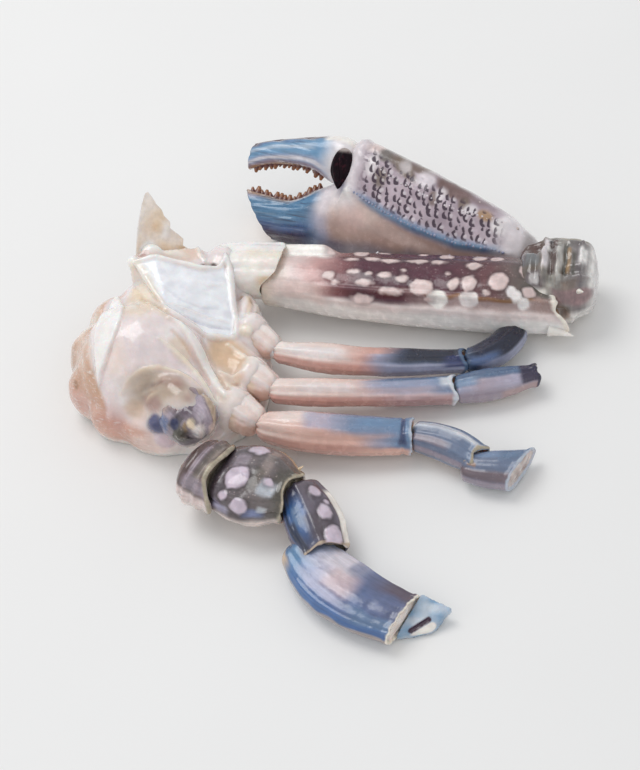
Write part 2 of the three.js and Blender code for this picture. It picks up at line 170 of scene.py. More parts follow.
def near(points, at, size, turn=0.0):
    """How deep points lie in an oval blob: 1 at its middle, 0 at its edge and less beyond."""
    x, y, z = np.moveaxis(points - np.asarray(at, float), -1, 0)
    x, y = turned(x, y, turn)
    return 1 - np.sqrt((x / size[0]) ** 2 + (y / size[1]) ** 2 + (z / size[2]) ** 2)


def path_distance(points, path):
    """How far points lie from a path of straight stretches, and the share of the path where it is nearest."""
    path = np.asarray(path, float)
    best = np.full(points.shape[:-1], 1e9)
    share = np.zeros(points.shape[:-1])
    lengths = np.linalg.norm(np.diff(path, axis=0), axis=1)
    run = np.concatenate([[0], np.cumsum(lengths)])
    for i, length in enumerate(lengths):
        along = path[i + 1] - path[i]
        t = np.clip(((points - path[i]) @ along) / length**2, 0, 1)
        away = np.linalg.norm(points - (path[i] + t[..., None] * along), axis=-1)
        closer = away < best
        best = np.where(closer, away, best)
        share = np.where(closer, (run[i] + t * length) / run[-1], share)
    return best, share


# ---- colours and sizes that a user may change ----


def colour(name, description, code):
    """A colour property."""
    return FloatVectorProperty(
        name=name, description=description, default=tuple(linear(code)), size=3, min=0, max=1, subtype="COLOR"
    )


class CrabColours(bpy.types.PropertyGroup):
    """The colours of shell, skin and flesh."""

    white: colour("White shell", "Smooth white shell of the underside and the joints", "F7F2ED")
    cream: colour("Cream", "Cream rims and joint skin", "EDDCC0")
    ochre: colour("Ochre", "Ochre spots on skin and crests", "C8924A")
    pink: colour("Leg pink", "Walking legs towards the body", "DDB4A4")
    steel: colour("Leg steel blue", "Walking legs towards their ends", "6F8DAE")
    navy: colour("Leg navy", "Upper edges of the walking legs' ends", "252C46")
    indigo: colour("Leg indigo", "Violet blue at the joints", "36407A")
    maroon: colour("Arm maroon", "Middle of the arm's upper side", "5A2432")
    rose: colour("Arm rose", "Where the arm's white root turns maroon", "C58A84")
    brown: colour("Arm brown", "Far end of the arm's upper side", "7C5B50")
    fleck: colour("Pale flecks", "Flecks and spots on arm and wrist", "DCC5C0")
    olive: colour("Wrist olive", "The wrist's upper side", "696350")
    lilac: colour("Palm lilac", "Ground colour of the palm", "BDA8B3")
    plum: colour("Palm plum", "Short arcs on the palm and dark finger margins", "3C1F38")
    sky: colour("Claw blue", "Bright blue of fingers and ridges", "5A8FB5")
    beige: colour("Palm beige", "Lower part of the palm", "C6A698")
    grey: colour("Swimming leg grey", "Ground colour of the swimming leg's spotted pieces", "6E6168")
    spot: colour("Lavender spots", "Large spots on the swimming leg", "CBBBC7")
    paddle: colour("Paddle blue", "Blue of the swimming leg's last pieces", "4672AC")
    meat: colour("Flesh", "Raw flesh at cuts and split", "EACDBB")
    dome: colour("Thorax dome", "Translucent skin over the muscles", "EADBD8")
    tan: colour("Soft skin", "Soft skin between the leg roots", "E0BC92")
    hinge: colour("Hinge skin", "Dark skin at the root of the upper finger", "160810")
    teeth: colour("Teeth", "Teeth along the fingers", "8C4C30")
    # Darkest is both the shell's own darkest tone and painted shade inside pits, dents and slits.
    dark: colour("Darkest", "Pits, slits and the darkest shell", "140B0F")


class CrabSizes(bpy.types.PropertyGroup):
    """The sizes of what the solids are too plain to show."""

    step: FloatProperty(name="Shell step", description="Distance between the mesh rings of a shell piece",
                        default=0.4 * MM, min=0.2 * MM, max=2 * MM, unit="LENGTH")
    voxel: FloatProperty(name="Thorax step", description="Distance between the thorax's mesh points",
                         default=0.5 * MM, min=0.3 * MM, max=2 * MM, unit="LENGTH")
    granule: FloatProperty(name="Granule", description="Radius of the granules along the ridges",
                           default=0.42 * MM, min=0.1 * MM, max=1 * MM, unit="LENGTH")
    tooth: FloatProperty(name="Tooth", description="Height of the largest claw teeth",
                         default=2.3 * MM, min=0.5 * MM, max=3 * MM, unit="LENGTH")
    flap: FloatProperty(name="Flap thickness", description="Thickness of the torn skin flap",
                        default=0.55 * MM, min=0.2 * MM, max=1.5 * MM, unit="LENGTH")
    seed: IntProperty(name="Seed", description="Fixes all that is scattered", default=11, min=0)


class StageSettings(bpy.types.PropertyGroup):
    """Floor, light and camera."""

    floor: colour("Floor", "The plain pale floor", "EFEDEA")
    key: FloatProperty(name="Key light", description="Power of the large soft light", default=3.2, min=0,
                       unit="POWER")
    fill: FloatProperty(name="Fill light", description="Power of the light from the front", default=0.8, min=0,
                        unit="POWER")
    lens: FloatProperty(name="Lens", description="Focal length", default=95, min=20, unit="CAMERA")


def tone(name):
    """One of the crab's colours."""
    return np.array(getattr(bpy.context.scene.crab_colours, name))


def size(name):
    """One of the crab's fine sizes, in millimetres."""
    return getattr(bpy.context.scene.crab_sizes, name) / MM


def seeded(offset):
    """A source of random numbers that are the same each time."""
    return np.random.default_rng(bpy.context.scene.crab_sizes.seed + offset)


def hue(text):
    """A colour mixed from named ones: "white 40 pink" is white with 40 % of pink over it."""
    words = text.split()
    mixed = tone(words[0])
    for percent, name in zip(words[1::2], words[2::2]):
        mixed = lay(mixed, tone(name), float(percent) / 100)
    return mixed


# ---- the surfaces that the shell pieces follow ----


class Limb:
    """A limb piece's surface, by how far along it and what angle round it: 0 its left side, 90 degrees its top."""

    STEPS = 256

    def __init__(self, start, length, heading, width, height, turn=0.0, dip=0.0, square=2.2):
        self.length = length
        self.width = width
        self.height = height
        self.square = square
        self.heading = (heading, turn, dip)
        share = (np.arange(self.STEPS) + 0.5) / self.STEPS
        moves = self.ahead(share) * length / self.STEPS
        self.line = np.concatenate([[start], start + np.cumsum(moves, axis=0)])
        self.end = tuple(self.line[-1])

    def ahead(self, share):
        heading, turn, dip = self.heading
        angle = (heading + turn * (np.clip(share, 0, 1) - 0.5)) / DEGREES
        down = dip / DEGREES
        level = math.cos(down)
        return np.stack([np.cos(angle) * level, np.sin(angle) * level, np.full_like(angle, -math.sin(down))], -1)

    def centre(self, along):
        share = np.asarray(along, float) / self.length
        place = np.clip(share, 0, 1) * self.STEPS
        on_line = np.stack([np.interp(place, np.arange(self.STEPS + 1), self.line[:, k]) for k in range(3)], -1)
        beyond = (share - np.clip(share, 0, 1)) * self.length
        return on_line + beyond[..., None] * self.ahead(share)

    def __call__(self, along, angle, shrink=1.0):
        along = np.asarray(along, float)
        share = along / self.length
        ahead = self.ahead(share)
        side = unit(np.stack([-ahead[..., 1], ahead[..., 0], np.zeros_like(share)], -1))
        top = np.cross(ahead, side)
        across = squared(np.cos(angle), self.square) * between(self.width, share) / 2 * shrink
        up = squared(np.sin(angle), self.square) * between(self.height, share) / 2 * shrink
        return self.centre(along) + across[..., None] * side + up[..., None] * top


CLAW = {"wrist": (47, 48.5, 5.5), "heading": 170, "lean": 45, "square": 2.4}


def on_claw(along, up, out):
    """A place on the claw: how far from the wrist, how far up across the palm, how far out from its flat side."""
    heading, lean = CLAW["heading"] / DEGREES, CLAW["lean"] / DEGREES
    forward = np.array([math.cos(heading), math.sin(heading), 0])
    aside = np.array([math.sin(heading), -math.cos(heading), 0])
    flat_up = aside * math.cos(lean) + np.array([0, 0, math.sin(lean)])
    flat_out = -aside * math.sin(lean) + np.array([0, 0, math.cos(lean)])
    along, up, out = (np.asarray(value, float)[..., None] for value in (along, up, out))
    return np.array(CLAW["wrist"]) + along * forward + up * flat_up + out * flat_out


class Blade:
    """A blade of the claw between its upper and lower edges; angle 0 is its outer flat side, 90 degrees its top."""

    def __init__(self, first, last, top, bottom, thick):
        self.first = first
        self.length = last - first
        self.top = top
        self.bottom = bottom
        self.thick = thick

    def edges(self, along):
        place = along + self.first
        return self.top(place), self.bottom(place), self.thick(place)

    def local(self, along, angle, shrink=1.0):
        along = np.asarray(along, float)
        top, bottom, thick = self.edges(along)
        up = (top + bottom) / 2 + squared(np.sin(angle), CLAW["square"]) * (top - bottom) / 2 * shrink
        return along + self.first, up, squared(np.cos(angle), CLAW["square"]) * thick / 2 * shrink

    def __call__(self, along, angle, shrink=1.0):
        return on_claw(*self.local(along, angle, shrink))


# How a shell piece ends: rows of how far in from the rim, how far back from it, and how much it is inside.
MOUTH = [(0.08, -0.08, 0), (0.25, -0.14, 0.1), (0.45, -0.08, 0.3), (0.6, 0.2, 0.6), (0.7, 0.9, 1), (1.3, 1.4, 1)]
CHOP = [(0.06, -0.02, 0.1), (0.35, -0.02, 0.4), (0.65, 0.02, 0.5), (0.85, 0.3, 1), (1.2, 0.42, 1)]


CAP_RINGS = 8  # how many steps a rounded end takes
HUB_RINGS = 6  # how many steps the skin inside an open end takes to its middle
HUB_SWELL = 0.5  # how far that skin bulges
NO_EDGE = 99.0  # the distance to the rim, where a piece has none


class Loft:
    """A closed skin of rings over a surface. Every value is kept for each point, in the points' order."""

    def __init__(self, form, sides, step, head, tail=0.0, rim=None, rows=MOUTH, facing=None, dense=None,
                 lead=None):
        angle = np.arange(sides) / sides * 2 * math.pi
        first = np.zeros(sides) if lead is None else lead(angle)
        rings = []
        for k in range(1, CAP_RINGS):
            t = k / CAP_RINGS * math.pi / 2
            rings.append(self._ring(form, first + head * (1 - math.cos(t)), angle, math.sin(t)))
        reach = np.full(sides, form.length - tail) if rim is None else rim(angle)
        count = max(int((form.length - head - tail) / step), 4)
        shares = np.linspace(0, 1, count + 1) if dense is None else dense(count)
        start = head + first
        for share in shares:
            rings.append(self._ring(form, start + (reach - start) * share, angle, 1.0))
        if rim is None:
            for k in range(CAP_RINGS - 1, 0, -1):
                t = k / CAP_RINGS * math.pi / 2
                along = np.full(sides, form.length - tail * (1 - math.cos(t)))
                rings.append(self._ring(form, along, angle, math.sin(t)))
            end, end_inner = form(form.length, 0.0, 0.0), 0.0
        else:
            end, end_inner = self._inside(rings, reach, angle, rows, facing), 1.0
        points, along, angles, inner = zip(*rings)
        self.points = np.concatenate([[form(float(first.mean()), 0.0, 0.0)], *points, [end]])
        self.along = np.concatenate([[0], *along, [form.length]])
        self.angle = np.concatenate([[0], *angles, [0]])
        self.inner = np.concatenate([[0], *inner, [end_inner]])
        far = np.concatenate([[0], np.tile(reach, len(rings)), [form.length]])
        self.edge = np.where(self.inner > 0, 0, far - self.along) if rim is not None else np.full(len(far), NO_EDGE)
        self.form = form
        self.share = self.along / form.length
        self.lean = about(self.angle * DEGREES - 90)
        self.quads, self.tris = ring_faces(self.points, len(rings), sides)

    @staticmethod
    def _ring(form, along, angle, shrink, inner=0.0):
        return form(along, angle, shrink), along, angle, np.full(len(angle), inner)

    def _inside(self, rings, reach, angle, rows, facing):
        rim = rings[-1][0]
        middle = rim.mean(axis=0)
        if facing is None:
            facing = unit(rim - rings[-3][0]).mean(axis=0)
        facing = unit(np.asarray(facing, float))
        span = np.linalg.norm(rim - middle, axis=1)
        for inward, back, inner in rows:
            share = np.minimum(inward / span, 0.9)[:, None]
            ring = rim + (middle - rim) * share - facing * back
            rings.append((ring, reach, angle, np.full(len(angle), inner)))
        last = rings[-1][0]
        hub = last.mean(axis=0)
        for k in range(1, HUB_RINGS):
            swell = HUB_SWELL * math.sin(k / HUB_RINGS * math.pi / 2) * facing
            ring = last + (hub - last) * (k / HUB_RINGS) + swell
            rings.append((ring, reach, angle, np.full(len(angle), 1.0)))
        return hub + HUB_SWELL * facing

    def raise_by(self, relief):
        """Moves the outer surface out along its normals by a relief in millimetres."""
        normals = point_normals(self.points, self.quads, self.tris)
        self.points = self.points + normals * (relief * (1 - np.clip(self.inner * 2, 0, 1)))[:, None]


NO_TRIS = np.empty((0, 3), int)


def ring_faces(points, rings, sides):
    """The outward faces of a skin of a first point, rings and a last point."""
    k = np.arange(sides)
    after = (k + 1) % sides
    row = 1 + np.arange(rings - 1)[:, None] * sides
    quads = np.stack([row + k, row + after, row + sides + after, row + sides + k], -1).reshape(-1, 4)
    last = 1 + (rings - 1) * sides
    tris = np.concatenate([
        np.stack([np.zeros_like(k), 1 + after, 1 + k], -1),
        np.stack([np.full_like(k, last + sides), last + k, last + after], -1),
    ])
    if volume(points, quads, tris) < 0:
        return quads[:, ::-1], tris[:, ::-1]
    return quads, tris


def face_corners(points, quads, tris):
    """The points at the three corners of each triangle that a mesh falls into, and their numbers."""
    corners = np.concatenate([quads[:, [0, 1, 2]], quads[:, [0, 2, 3]], tris])
    return *(points[corners[:, k]] for k in range(3)), corners


def volume(points, quads, tris=NO_TRIS):
    """The signed volume in a closed mesh."""
    a, b, c, _ = face_corners(points, quads, tris)
    return float(np.einsum("ij,ij->i", a, np.cross(b, c)).sum()) / 6


def outward(points, quads):
    """The quads of a closed mesh, turned over where they face inwards."""
    return quads[:, ::-1] if volume(points, quads) < 0 else quads


def point_normals(points, quads, tris=NO_TRIS):
    """The outward direction at each point of a mesh."""
    a, b, c, corners = face_corners(points, quads, tris)
    facing = np.cross(b - a, c - a)
    total = np.zeros_like(points)
    for k in range(3):
        for axis in range(3):
            total[:, axis] += np.bincount(corners[:, k], facing[:, axis], len(points))
    return unit(total)


def chop_rim(form, point, facing, reach=1.15):
    """Where a chop through a point, facing away along a direction, meets a surface at each angle round it."""
    facing = unit(np.asarray(facing, float))

    def rim(angle):
        along = np.linspace(0, form.length * reach, 400)
        depth = (form(along[:, None], np.asarray(angle)[None, :]) - np.asarray(point)) @ facing
        beyond = depth > 0
        first = np.where(beyond.any(axis=0), beyond.argmax(axis=0), len(along) - 1)
        k = np.arange(len(angle))
        before, after = depth[first - 1, k], depth[first, k]
        share = np.clip(-before / np.maximum(after - before, 1e-6), 0, 1)
        return along[first - 1] + share * (along[1] - along[0])

    return rim


def mouth_rim(form, back=0.6, *lobes):
    """An open end's rim: straight across, with lobes that reach out; each lobe has a lean, a reach and a breadth."""

    def rim(angle):
        lean = about(angle * DEGREES - 90)
        along = np.full(len(angle), form.length - back)
        for middle, reach, breadth in lobes:
            along += reach * hump(about(lean - middle), 0, breadth)
        return along

    return rim


# ---- the limb pieces, as the solids have them but a little slimmer ----

PIECES = {
    "arm_ischium": dict(
        start=(-33, 32.5, 13.6), length=17, heading=7, dip=7, width=(13, 14.2, 14.5), height=(11, 12, 12.8),
        square=2.4,
    ),
    "arm_merus": dict(
        start=(-18.6, 33.8, 9.7), length=76, heading=-1, turn=5, dip=1.6, width=(13.5, 15.6, 17, 18, 19, 19.4, 18),
        height=(11.8, 13.2, 14.4, 15, 15.6, 16, 13), square=2.5,
    ),
    "arm_carpus": dict(
        start=(45.4, 36.4, 9.4), length=20, heading=2, width=(15, 19, 20, 16), height=(15, 18, 18, 15), square=2.6,
    ),
    "leg1_ischium": dict(
        start=(-21, 15, 10.5), length=11, heading=-31, dip=8, width=(10, 8.2, 6.6), height=(10, 8.4, 6.8),
    ),
    "leg1_merus": dict(
        after="leg1_ischium", length=46.5, heading=4.5, turn=17, dip=5.5, width=(5.8, 7.4, 7.0, 6.6, 5.8),
        height=(5.8, 7.2, 6.9, 6.3, 5.6),
    ),
    "leg1_carpus": dict(
        after="leg1_merus", length=18, heading=47, turn=76, width=(6.2, 8, 8.4, 7.2), height=(6, 6.8, 6.6, 5.2),
    ),
    "leg2_ischium": dict(
        start=(-18, 1, 9.5), length=9, heading=-27, dip=8, width=(10, 8.6, 6.9), height=(10, 8.2, 7),
    ),
    "leg2_merus": dict(
        after="leg2_ischium", length=44, heading=8.5, turn=8, dip=5, width=(6, 7, 6.7, 6.8, 7.2),
        height=(6, 6.9, 6.5, 6.4, 6.2),
    ),
    "leg2_carpus": dict(
        after="leg2_merus", length=20.5, heading=17.5, turn=6, width=(6.8, 8.2, 7.6, 5), height=(5.8, 6.9, 6.2, 4.8),
    ),
    "leg3_ischium": dict(start=(-21, -8.5, 9), length=11, heading=-30, dip=7, width=(10, 10, 8), height=(10, 9, 7.6)),
    "leg3_merus": dict(
        after="leg3_ischium", length=37, heading=2, turn=9, dip=4, width=(7.4, 10.2, 10.6, 10.2, 9.4),
        height=(7.4, 9, 9, 8.6, 7.6),
    ),
    "leg3_carpus": dict(
        after="leg3_merus", length=18, heading=-19, turn=-34, dip=2, width=(7.6, 8.8, 9, 8),
        height=(6.2, 7.2, 7.2, 6.2),
    ),
    "leg3_propodus": dict(
        start=(38.3, -20, 3.8), length=17.5, heading=3, turn=24, width=(6.8, 8.8, 10.2, 10.6, 10.6),
        height=(5.6, 6.7, 7, 6.2, 5.4),
    ),
    "swim_coxa": dict(
        start=(-32, -13.5, 14), length=12, heading=-38, dip=14, width=(13, 13.5, 11), height=(12, 12.4, 10),
    ),
    "swim_ischium": dict(
        start=(-26.5, -28, 9.5), length=11, heading=-24, dip=6, width=(15, 18.5, 17.5), height=(10.6, 12.4, 11.4),
    ),
    "swim_merus": dict(
        start=(-17, -30.5, 8.6), length=18.5, heading=-15, dip=4, width=(18, 21.4, 20.4, 13),
        height=(8.6, 11.2, 11.2, 8.6),
    ),
    "swim_carpus": dict(
        start=(0.8, -32, 6.8), length=20, heading=-60, turn=-12, dip=4, width=(9.4, 12.6, 13.4, 11),
        height=(7.4, 8.4, 8.4, 6.6),
    ),
    "swim_propodus": dict(
        start=(3.2, -46, 4.2), length=43, heading=-29, turn=46, dip=1, width=(10, 14, 16.2, 15.4, 13.4, 12),
        height=(6, 7, 7.5, 7, 6, 5),
    ),
}
CHOPS = {"leg3_propodus": -24, "swim_propodus": -25}  # the heading that each chop faces
CHOP_SHARE = 0.8  # the chop takes off the last fifth of the piece's length


def form_of(name):
    """A limb piece's surface."""
    spec = dict(PIECES[name])
    after = spec.pop("after", None)
    start = form_of(after).end if after else spec.pop("start")
    return Limb(start, **spec)


def chopped(name, form):
    """A chopped piece's rim, the way the cut faces, and where the chop goes through."""
    heading = CHOPS[name] / DEGREES
    facing = np.array([math.cos(heading), math.sin(heading), 0])
    point = form.centre(form.length * CHOP_SHARE)
    return chop_rim(form, point, facing), facing, point


# ---- meshes and finishes ----

HINGE_PAD = {"along": 53.5, "up": 17, "out": 4.6, "size": (3.3, 6.2, 2.7)}


def frame_shift():
    """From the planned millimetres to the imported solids' own origin, read from the claw's hinge pad."""
    low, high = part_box("claw_hinge")
    middle = np.array((low + high) / 2) / MM
    return middle - on_claw(HINGE_PAD["along"], HINGE_PAD["up"], HINGE_PAD["out"])


SHIFT = frame_shift()
FLOOR_EASE = 0.12  # how softly, in millimetres, a piece flattens where it rests


def linked(name, data):
    """A new object in the scene."""
    made = bpy.data.objects.new(name, data)
    bpy.context.scene.collection.objects.link(made)
    return made


def give(mesh, key, values):
    """A mesh's points get an attribute: a number, a place or, if it is their tint, a colour."""
    values = np.asarray(values, np.float32)
    if values.ndim == 1:
        kind, entry = "FLOAT", "value"
    elif key == "tint":
        kind, entry = "FLOAT_COLOR", "color"
        values = np.concatenate([values, np.ones((len(values), 1), np.float32)], axis=1)
    else:
        kind, entry = "FLOAT_VECTOR", "vector"
    mesh.attributes.new(key, kind, "POINT").data.foreach_set(entry, values.ravel())


def mesh_object(name, points, quads, tris, material, fields):
    """A smooth-shaded mesh object from points in planned millimetres, with its fields kept as attributes."""
    points = points + SHIFT
    points[:, 2] = 0.5 * (points[:, 2] + np.sqrt(points[:, 2] ** 2 + FLOOR_EASE**2))
    mesh = bpy.data.meshes.new(name)
    corners = np.concatenate([quads.ravel(), tris.ravel()]).astype(np.int32)
    starts = np.concatenate([np.arange(len(quads)) * 4, len(quads) * 4 + np.arange(len(tris)) * 3])
    mesh.vertices.add(len(points))
    mesh.vertices.foreach_set("co", (points * MM).astype(np.float32).ravel())
    mesh.loops.add(len(corners))
    mesh.loops.foreach_set("vertex_index", corners)
    mesh.polygons.add(len(starts))
    mesh.polygons.foreach_set("loop_start", starts.astype(np.int32))
    mesh.update(calc_edges=True)
    mesh.validate()
    mesh.polygons.foreach_set("use_smooth", np.ones(len(mesh.polygons), bool))
    for key, values in fields.items():
        give(mesh, key, values)
    mesh.materials.append(material)
    return linked(name, mesh)


def dress(piece, slot, *nodes):
    """The piece rides on the half and stands for its solids, which it hides; its slot is not used."""
    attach(piece, "root")
    if nodes:
        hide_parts(*nodes)


class Finish:
    """A material's nodes, with short calls for the ones that shells and flesh need."""

    def __init__(self, name, **sockets):
        self.material = bpy.data.materials.new(name)
        self.material.use_nodes = True
        self.tree = self.material.node_tree
        self.tree.nodes.clear()
        self.shader = self.add("ShaderNodeBsdfPrincipled")
        output = self.add("ShaderNodeOutputMaterial")
        self.tree.links.new(self.shader.outputs[0], output.inputs["Surface"])
        self.place = self.add("ShaderNodeTexCoord").outputs["Object"]
        self.set(**sockets)

    def set(self, **sockets):
        for key, value in sockets.items():
            self.feed(self.shader.inputs[key.replace("_", " ")], value)

    def add(self, kind, **settings):
        node = self.tree.nodes.new(kind)
        for key, value in settings.items():
            setattr(node, key, value)
        return node

    def feed(self, socket, value):
        if isinstance(value, bpy.types.NodeSocket):
            self.tree.links.new(value, socket)
        elif socket.type == "RGBA":
            socket.default_value = (*value[:3], 1)
        else:
            socket.default_value = value

    def attribute(self, name, output="Fac"):
        return self.add("ShaderNodeAttribute", attribute_name=name).outputs[output]

    def math(self, operation, first, second=0.0, third=0.0):
        node = self.add("ShaderNodeMath", operation=operation)
        for socket, value in zip(node.inputs, (first, second, third)):
            self.feed(socket, value)
        return node.outputs[0]

    def times(self, first, second):
        return self.math("MULTIPLY", first, second)

    def vector(self, operation, first, second=(0, 0, 0), output=0):
        node = self.add("ShaderNodeVectorMath", operation=operation)
        self.feed(node.inputs[0], first)
        self.feed(node.inputs[1], second)
        return node.outputs[output]

    def mixed(self, factor, under, over, blend="MIX"):
        node = self.add("ShaderNodeMix", data_type="RGBA", blend_type=blend)
        self.feed(node.inputs[0], factor)
        self.feed(node.inputs[6], under)
        self.feed(node.inputs[7], over)
        return node.outputs[2]

    def clouded(self, under, value, low, high):
        """A colour made darker and lighter between two numbers by a noise."""
        return self.mixed(1.0, under, self.step(value, 0.3, 0.7, low, high), "MULTIPLY")

    def step(self, value, low, high, start=0.0, end=1.0):
        node = self.add("ShaderNodeMapRange", interpolation_type="SMOOTHSTEP")
        for socket, number in zip(node.inputs, (value, low, high, start, end)):
            self.feed(socket, number)
        return node.outputs[0]

    def scaled(self, vector, factors):
        node = self.add("ShaderNodeMapping")
        self.feed(node.inputs["Vector"], vector)
        node.inputs["Scale"].default_value = factors
        return node.outputs[0]

    def noise(self, grain, detail=2.0, vector=None, per=MM, distortion=0.0, output=0):
        node = self.add("ShaderNodeTexNoise")
        self.feed(node.inputs["Vector"], vector or self.place)
        node.inputs["Scale"].default_value = 1 / (grain * per)
        node.inputs["Detail"].default_value = detail
        node.inputs["Distortion"].default_value = distortion
        return node.outputs[output]

    def cells(self, grain, vector=None, per=MM, jitter=1.0):
        node = self.add("ShaderNodeTexVoronoi", feature="F1")
        self.feed(node.inputs["Vector"], vector or self.place)
        node.inputs["Scale"].default_value = 1 / (grain * per)
        node.inputs["Randomness"].default_value = jitter
        return node.outputs

    def bump(self, *layers):
        normal = None
        for height, depth in layers:
            node = self.add("ShaderNodeBump")
            self.feed(node.inputs["Height"], height)
            node.inputs["Distance"].default_value = depth * MM
            if normal is not None:
                self.feed(node.inputs["Normal"], normal)
            normal = node.outputs[0]
        self.set(Normal=normal)


# Each finish: how strongly the shell is mottled, streaked along its length, grainy, translucent, dull and glossy,
# how dark the ring round a spot is, how strong its pale flecks are and how fast the streaks run each way.
FINISHES = {
    "root_shell": dict(mottle=0.04, streak=0.02, grains=0.3, soft=0.45, dull=0.24, coat=0.5),
    "leg_shell": dict(mottle=0.05, streak=0.05, grains=0.3, soft=0.35, dull=0.22, coat=0.5, flecks=0.08),
    "arm_shell": dict(mottle=0.1, streak=0.06, grains=0.6, soft=0.14, dull=0.22, coat=0.5, halo=0.45, flecks=0.22),
    "wrist_shell": dict(
        mottle=0.2, streak=0.16, grains=0.6, soft=0.12, dull=0.1, coat=1.0, halo=0.3, run=(0.9, 0.3, 0.3),
    ),
    "spotted_shell": dict(mottle=0.16, streak=0.16, grains=0.6, soft=0.18, dull=0.17, coat=0.7, halo=0.6, flecks=0.3),
    "paddle_shell": dict(mottle=0.08, streak=0.12, grains=0.3, soft=0.16, dull=0.17, coat=0.65, halo=0.6),
}


def shell_finish(name, spots="spot", halo=0.5, mottle=0.1, grains=0.5, soft=0.12, dull=0.26, coat=0.45, streak=0.0,
                 flecks=0.0, run=(0.09, 1.3, 1.3)):
    """Wet crab shell: its tint, clouds and fine streaks, tiny granules, soft-edged spots with a darker ring, gloss."""
    finish = Finish(name, Subsurface_Weight=soft, Subsurface_Radius=(1.0, 0.55, 0.42), Subsurface_Scale=0.0018,
                    Coat_Weight=coat, Coat_Roughness=0.08, IOR=1.45)
    base = finish.attribute("tint", "Color")
    cloud = finish.noise(2.4, 3)
    base = finish.clouded(base, cloud, 1 - mottle, 1 + mottle * 0.6)
    place = finish.attribute("place", "Vector")
    lines = finish.noise(1.0, 4, finish.scaled(place, run), 1.0, 0.4)
    base = finish.clouded(base, lines, 1 - streak, 1 + streak * 0.8)
    if flecks:
        dots = finish.times(finish.step(finish.cells(1.0)["Distance"], 0.3, 0.12), finish.step(cloud, 0.45, 0.6))
        base = finish.mixed(finish.times(dots, flecks), base, tone("fleck"))
    ragged = finish.math("MULTIPLY_ADD", finish.noise(2.2, 1), 1.3, -0.65)
    away = finish.math("ADD", finish.attribute("spot"), ragged)
    ring = finish.times(finish.step(away, 1.3, 0.1), halo)
    base = finish.mixed(ring, base, finish.mixed(1.0, base, (0.35, 0.28, 0.3), "MULTIPLY"))
    inside = finish.clouded(tone(spots), cloud, 0.84, 1.1)
    base = finish.mixed(finish.step(away, 0.35, -0.45), base, inside)
    finish.set(Base_Color=base, Roughness=finish.step(cloud, 0.25, 0.75, dull - 0.05, dull + 0.1))
    grainy = finish.step(finish.cells(0.5)["Distance"], 0.0, 0.5)
    finish.bump((finish.noise(3.0, 2), 0.2), (lines, 0.06), (grainy, -0.04 * grains), (finish.noise(0.25, 2), 0.015))
    return finish.material


def ready_finish(name, spots):
    """A finish from the table, made once."""
    return bpy.data.materials.get(name) or shell_finish(name, spots, **FINISHES[name])


FAR = 50.0  # how far off the nearest spot is, where there is none


def spot_distance(form, points, spots):
    """How far points lie outside the nearest spot, in millimetres; a spot is along, angle, long and wide radius."""
    best = np.full(len(points), FAR)
    for along, angle, long, wide in spots:
        middle = form(along, angle / DEGREES)
        ahead = unit(form(along + 0.5, angle / DEGREES) - form(along - 0.5, angle / DEGREES))
        gap = points - middle
        down = gap @ ahead
        aside = np.sqrt(np.maximum((gap**2).sum(-1) - down**2, 0))
        away = (np.sqrt((down / long) ** 2 + (aside / wide) ** 2) - 1) * min(long, wide)
        best = np.minimum(best, away)
    return best


SPOT_TRIES = 4000  # how often at most a place for another spot is drawn
SPOT_GAP = 1.3  # the room between spots, as a share of their sizes
MM_PER_DEGREE = 0.16  # how far a degree reaches round the piece that carries scattered spots


def scattered(rng, spots, count, along, angle, radius, stretch):
    """The given spots and more at random places in a range along and round a piece, none too near another."""
    spots = list(spots)
    for _ in range(SPOT_TRIES):
        if not count:
            break
        wide = rng.uniform(*radius)
        spot = (rng.uniform(*along), rng.uniform(*angle), wide * rng.uniform(1, stretch), wide)
        if all(math.hypot(spot[0] - other[0], (spot[1] - other[1]) * MM_PER_DEGREE)
               > SPOT_GAP * (spot[2] + other[2]) * 0.8 for other in spots):
            spots.append(spot)
            count -= 1
    return spots


def thorn(foot, tip, radius, bend, tint, sides=14, rings=12):
    """A tapering, slightly hooked spine from its foot to its tip."""
    axis = tip - foot
    side = unit(np.cross(axis, [0.3, 0.2, 1.0]))
    up = unit(np.cross(side, axis))
    angle = np.arange(sides) / sides * 2 * math.pi
    rows = []
    for k in range(rings):
        t = k / rings
        wide = radius * (1 - t) ** 0.75 * (1 + 0.35 * (1 - t) ** 6)
        hook = bend * t * t * np.linalg.norm(axis)
        circle = np.cos(angle)[:, None] * side + np.sin(angle)[:, None] * up
        rows.append(foot + axis * t + up * hook + wide * circle)
    points = np.concatenate([[foot - axis * 0.05], *rows, [tip + up * bend * np.linalg.norm(axis)]])
    quads, tris = ring_faces(points, rings, sides)
    return points, quads, tris, np.broadcast_to(tint, (len(points), 3))


def merged(parts):
    """Several closed skins as one: their points, quads, triangles and tints."""
    points, quads, tris, tints = zip(*parts)
    starts = np.cumsum([0, *map(len, points)])
    quads, tris = ([faces + start for faces, start in zip(kind, starts)] for kind in (quads, tris))
    return tuple(np.concatenate(kind) for kind in (points, quads, tris, tints))


SPINE_ROOT = 1.2  # how deep a spine stands in the shell
SLIM, HOOK = 0.42, 0.12  # how thick a plain spine is for its height, and how far its tip bends


def spines_of(form, spines):
    """A piece's spines: share, angle, height, how far each leans and its hue, and how thick it is if it is blunt."""
    made = []
    for share, angle, tall, lean, colours, *stout in spines:
        along = share * form.length
        foot = form(along, angle / DEGREES)
        ahead = unit(form.centre(along + 0.5) - form.centre(along - 0.5))
        outwards = unit(unit(foot - form.centre(along)) + ahead * lean)
        thick, bend = (stout[0], 0.0) if stout else (SLIM, HOOK)
        made.append(thorn(foot - outwards * SPINE_ROOT, foot + outwards * tall, tall * thick, bend, hue(colours)))
    return made


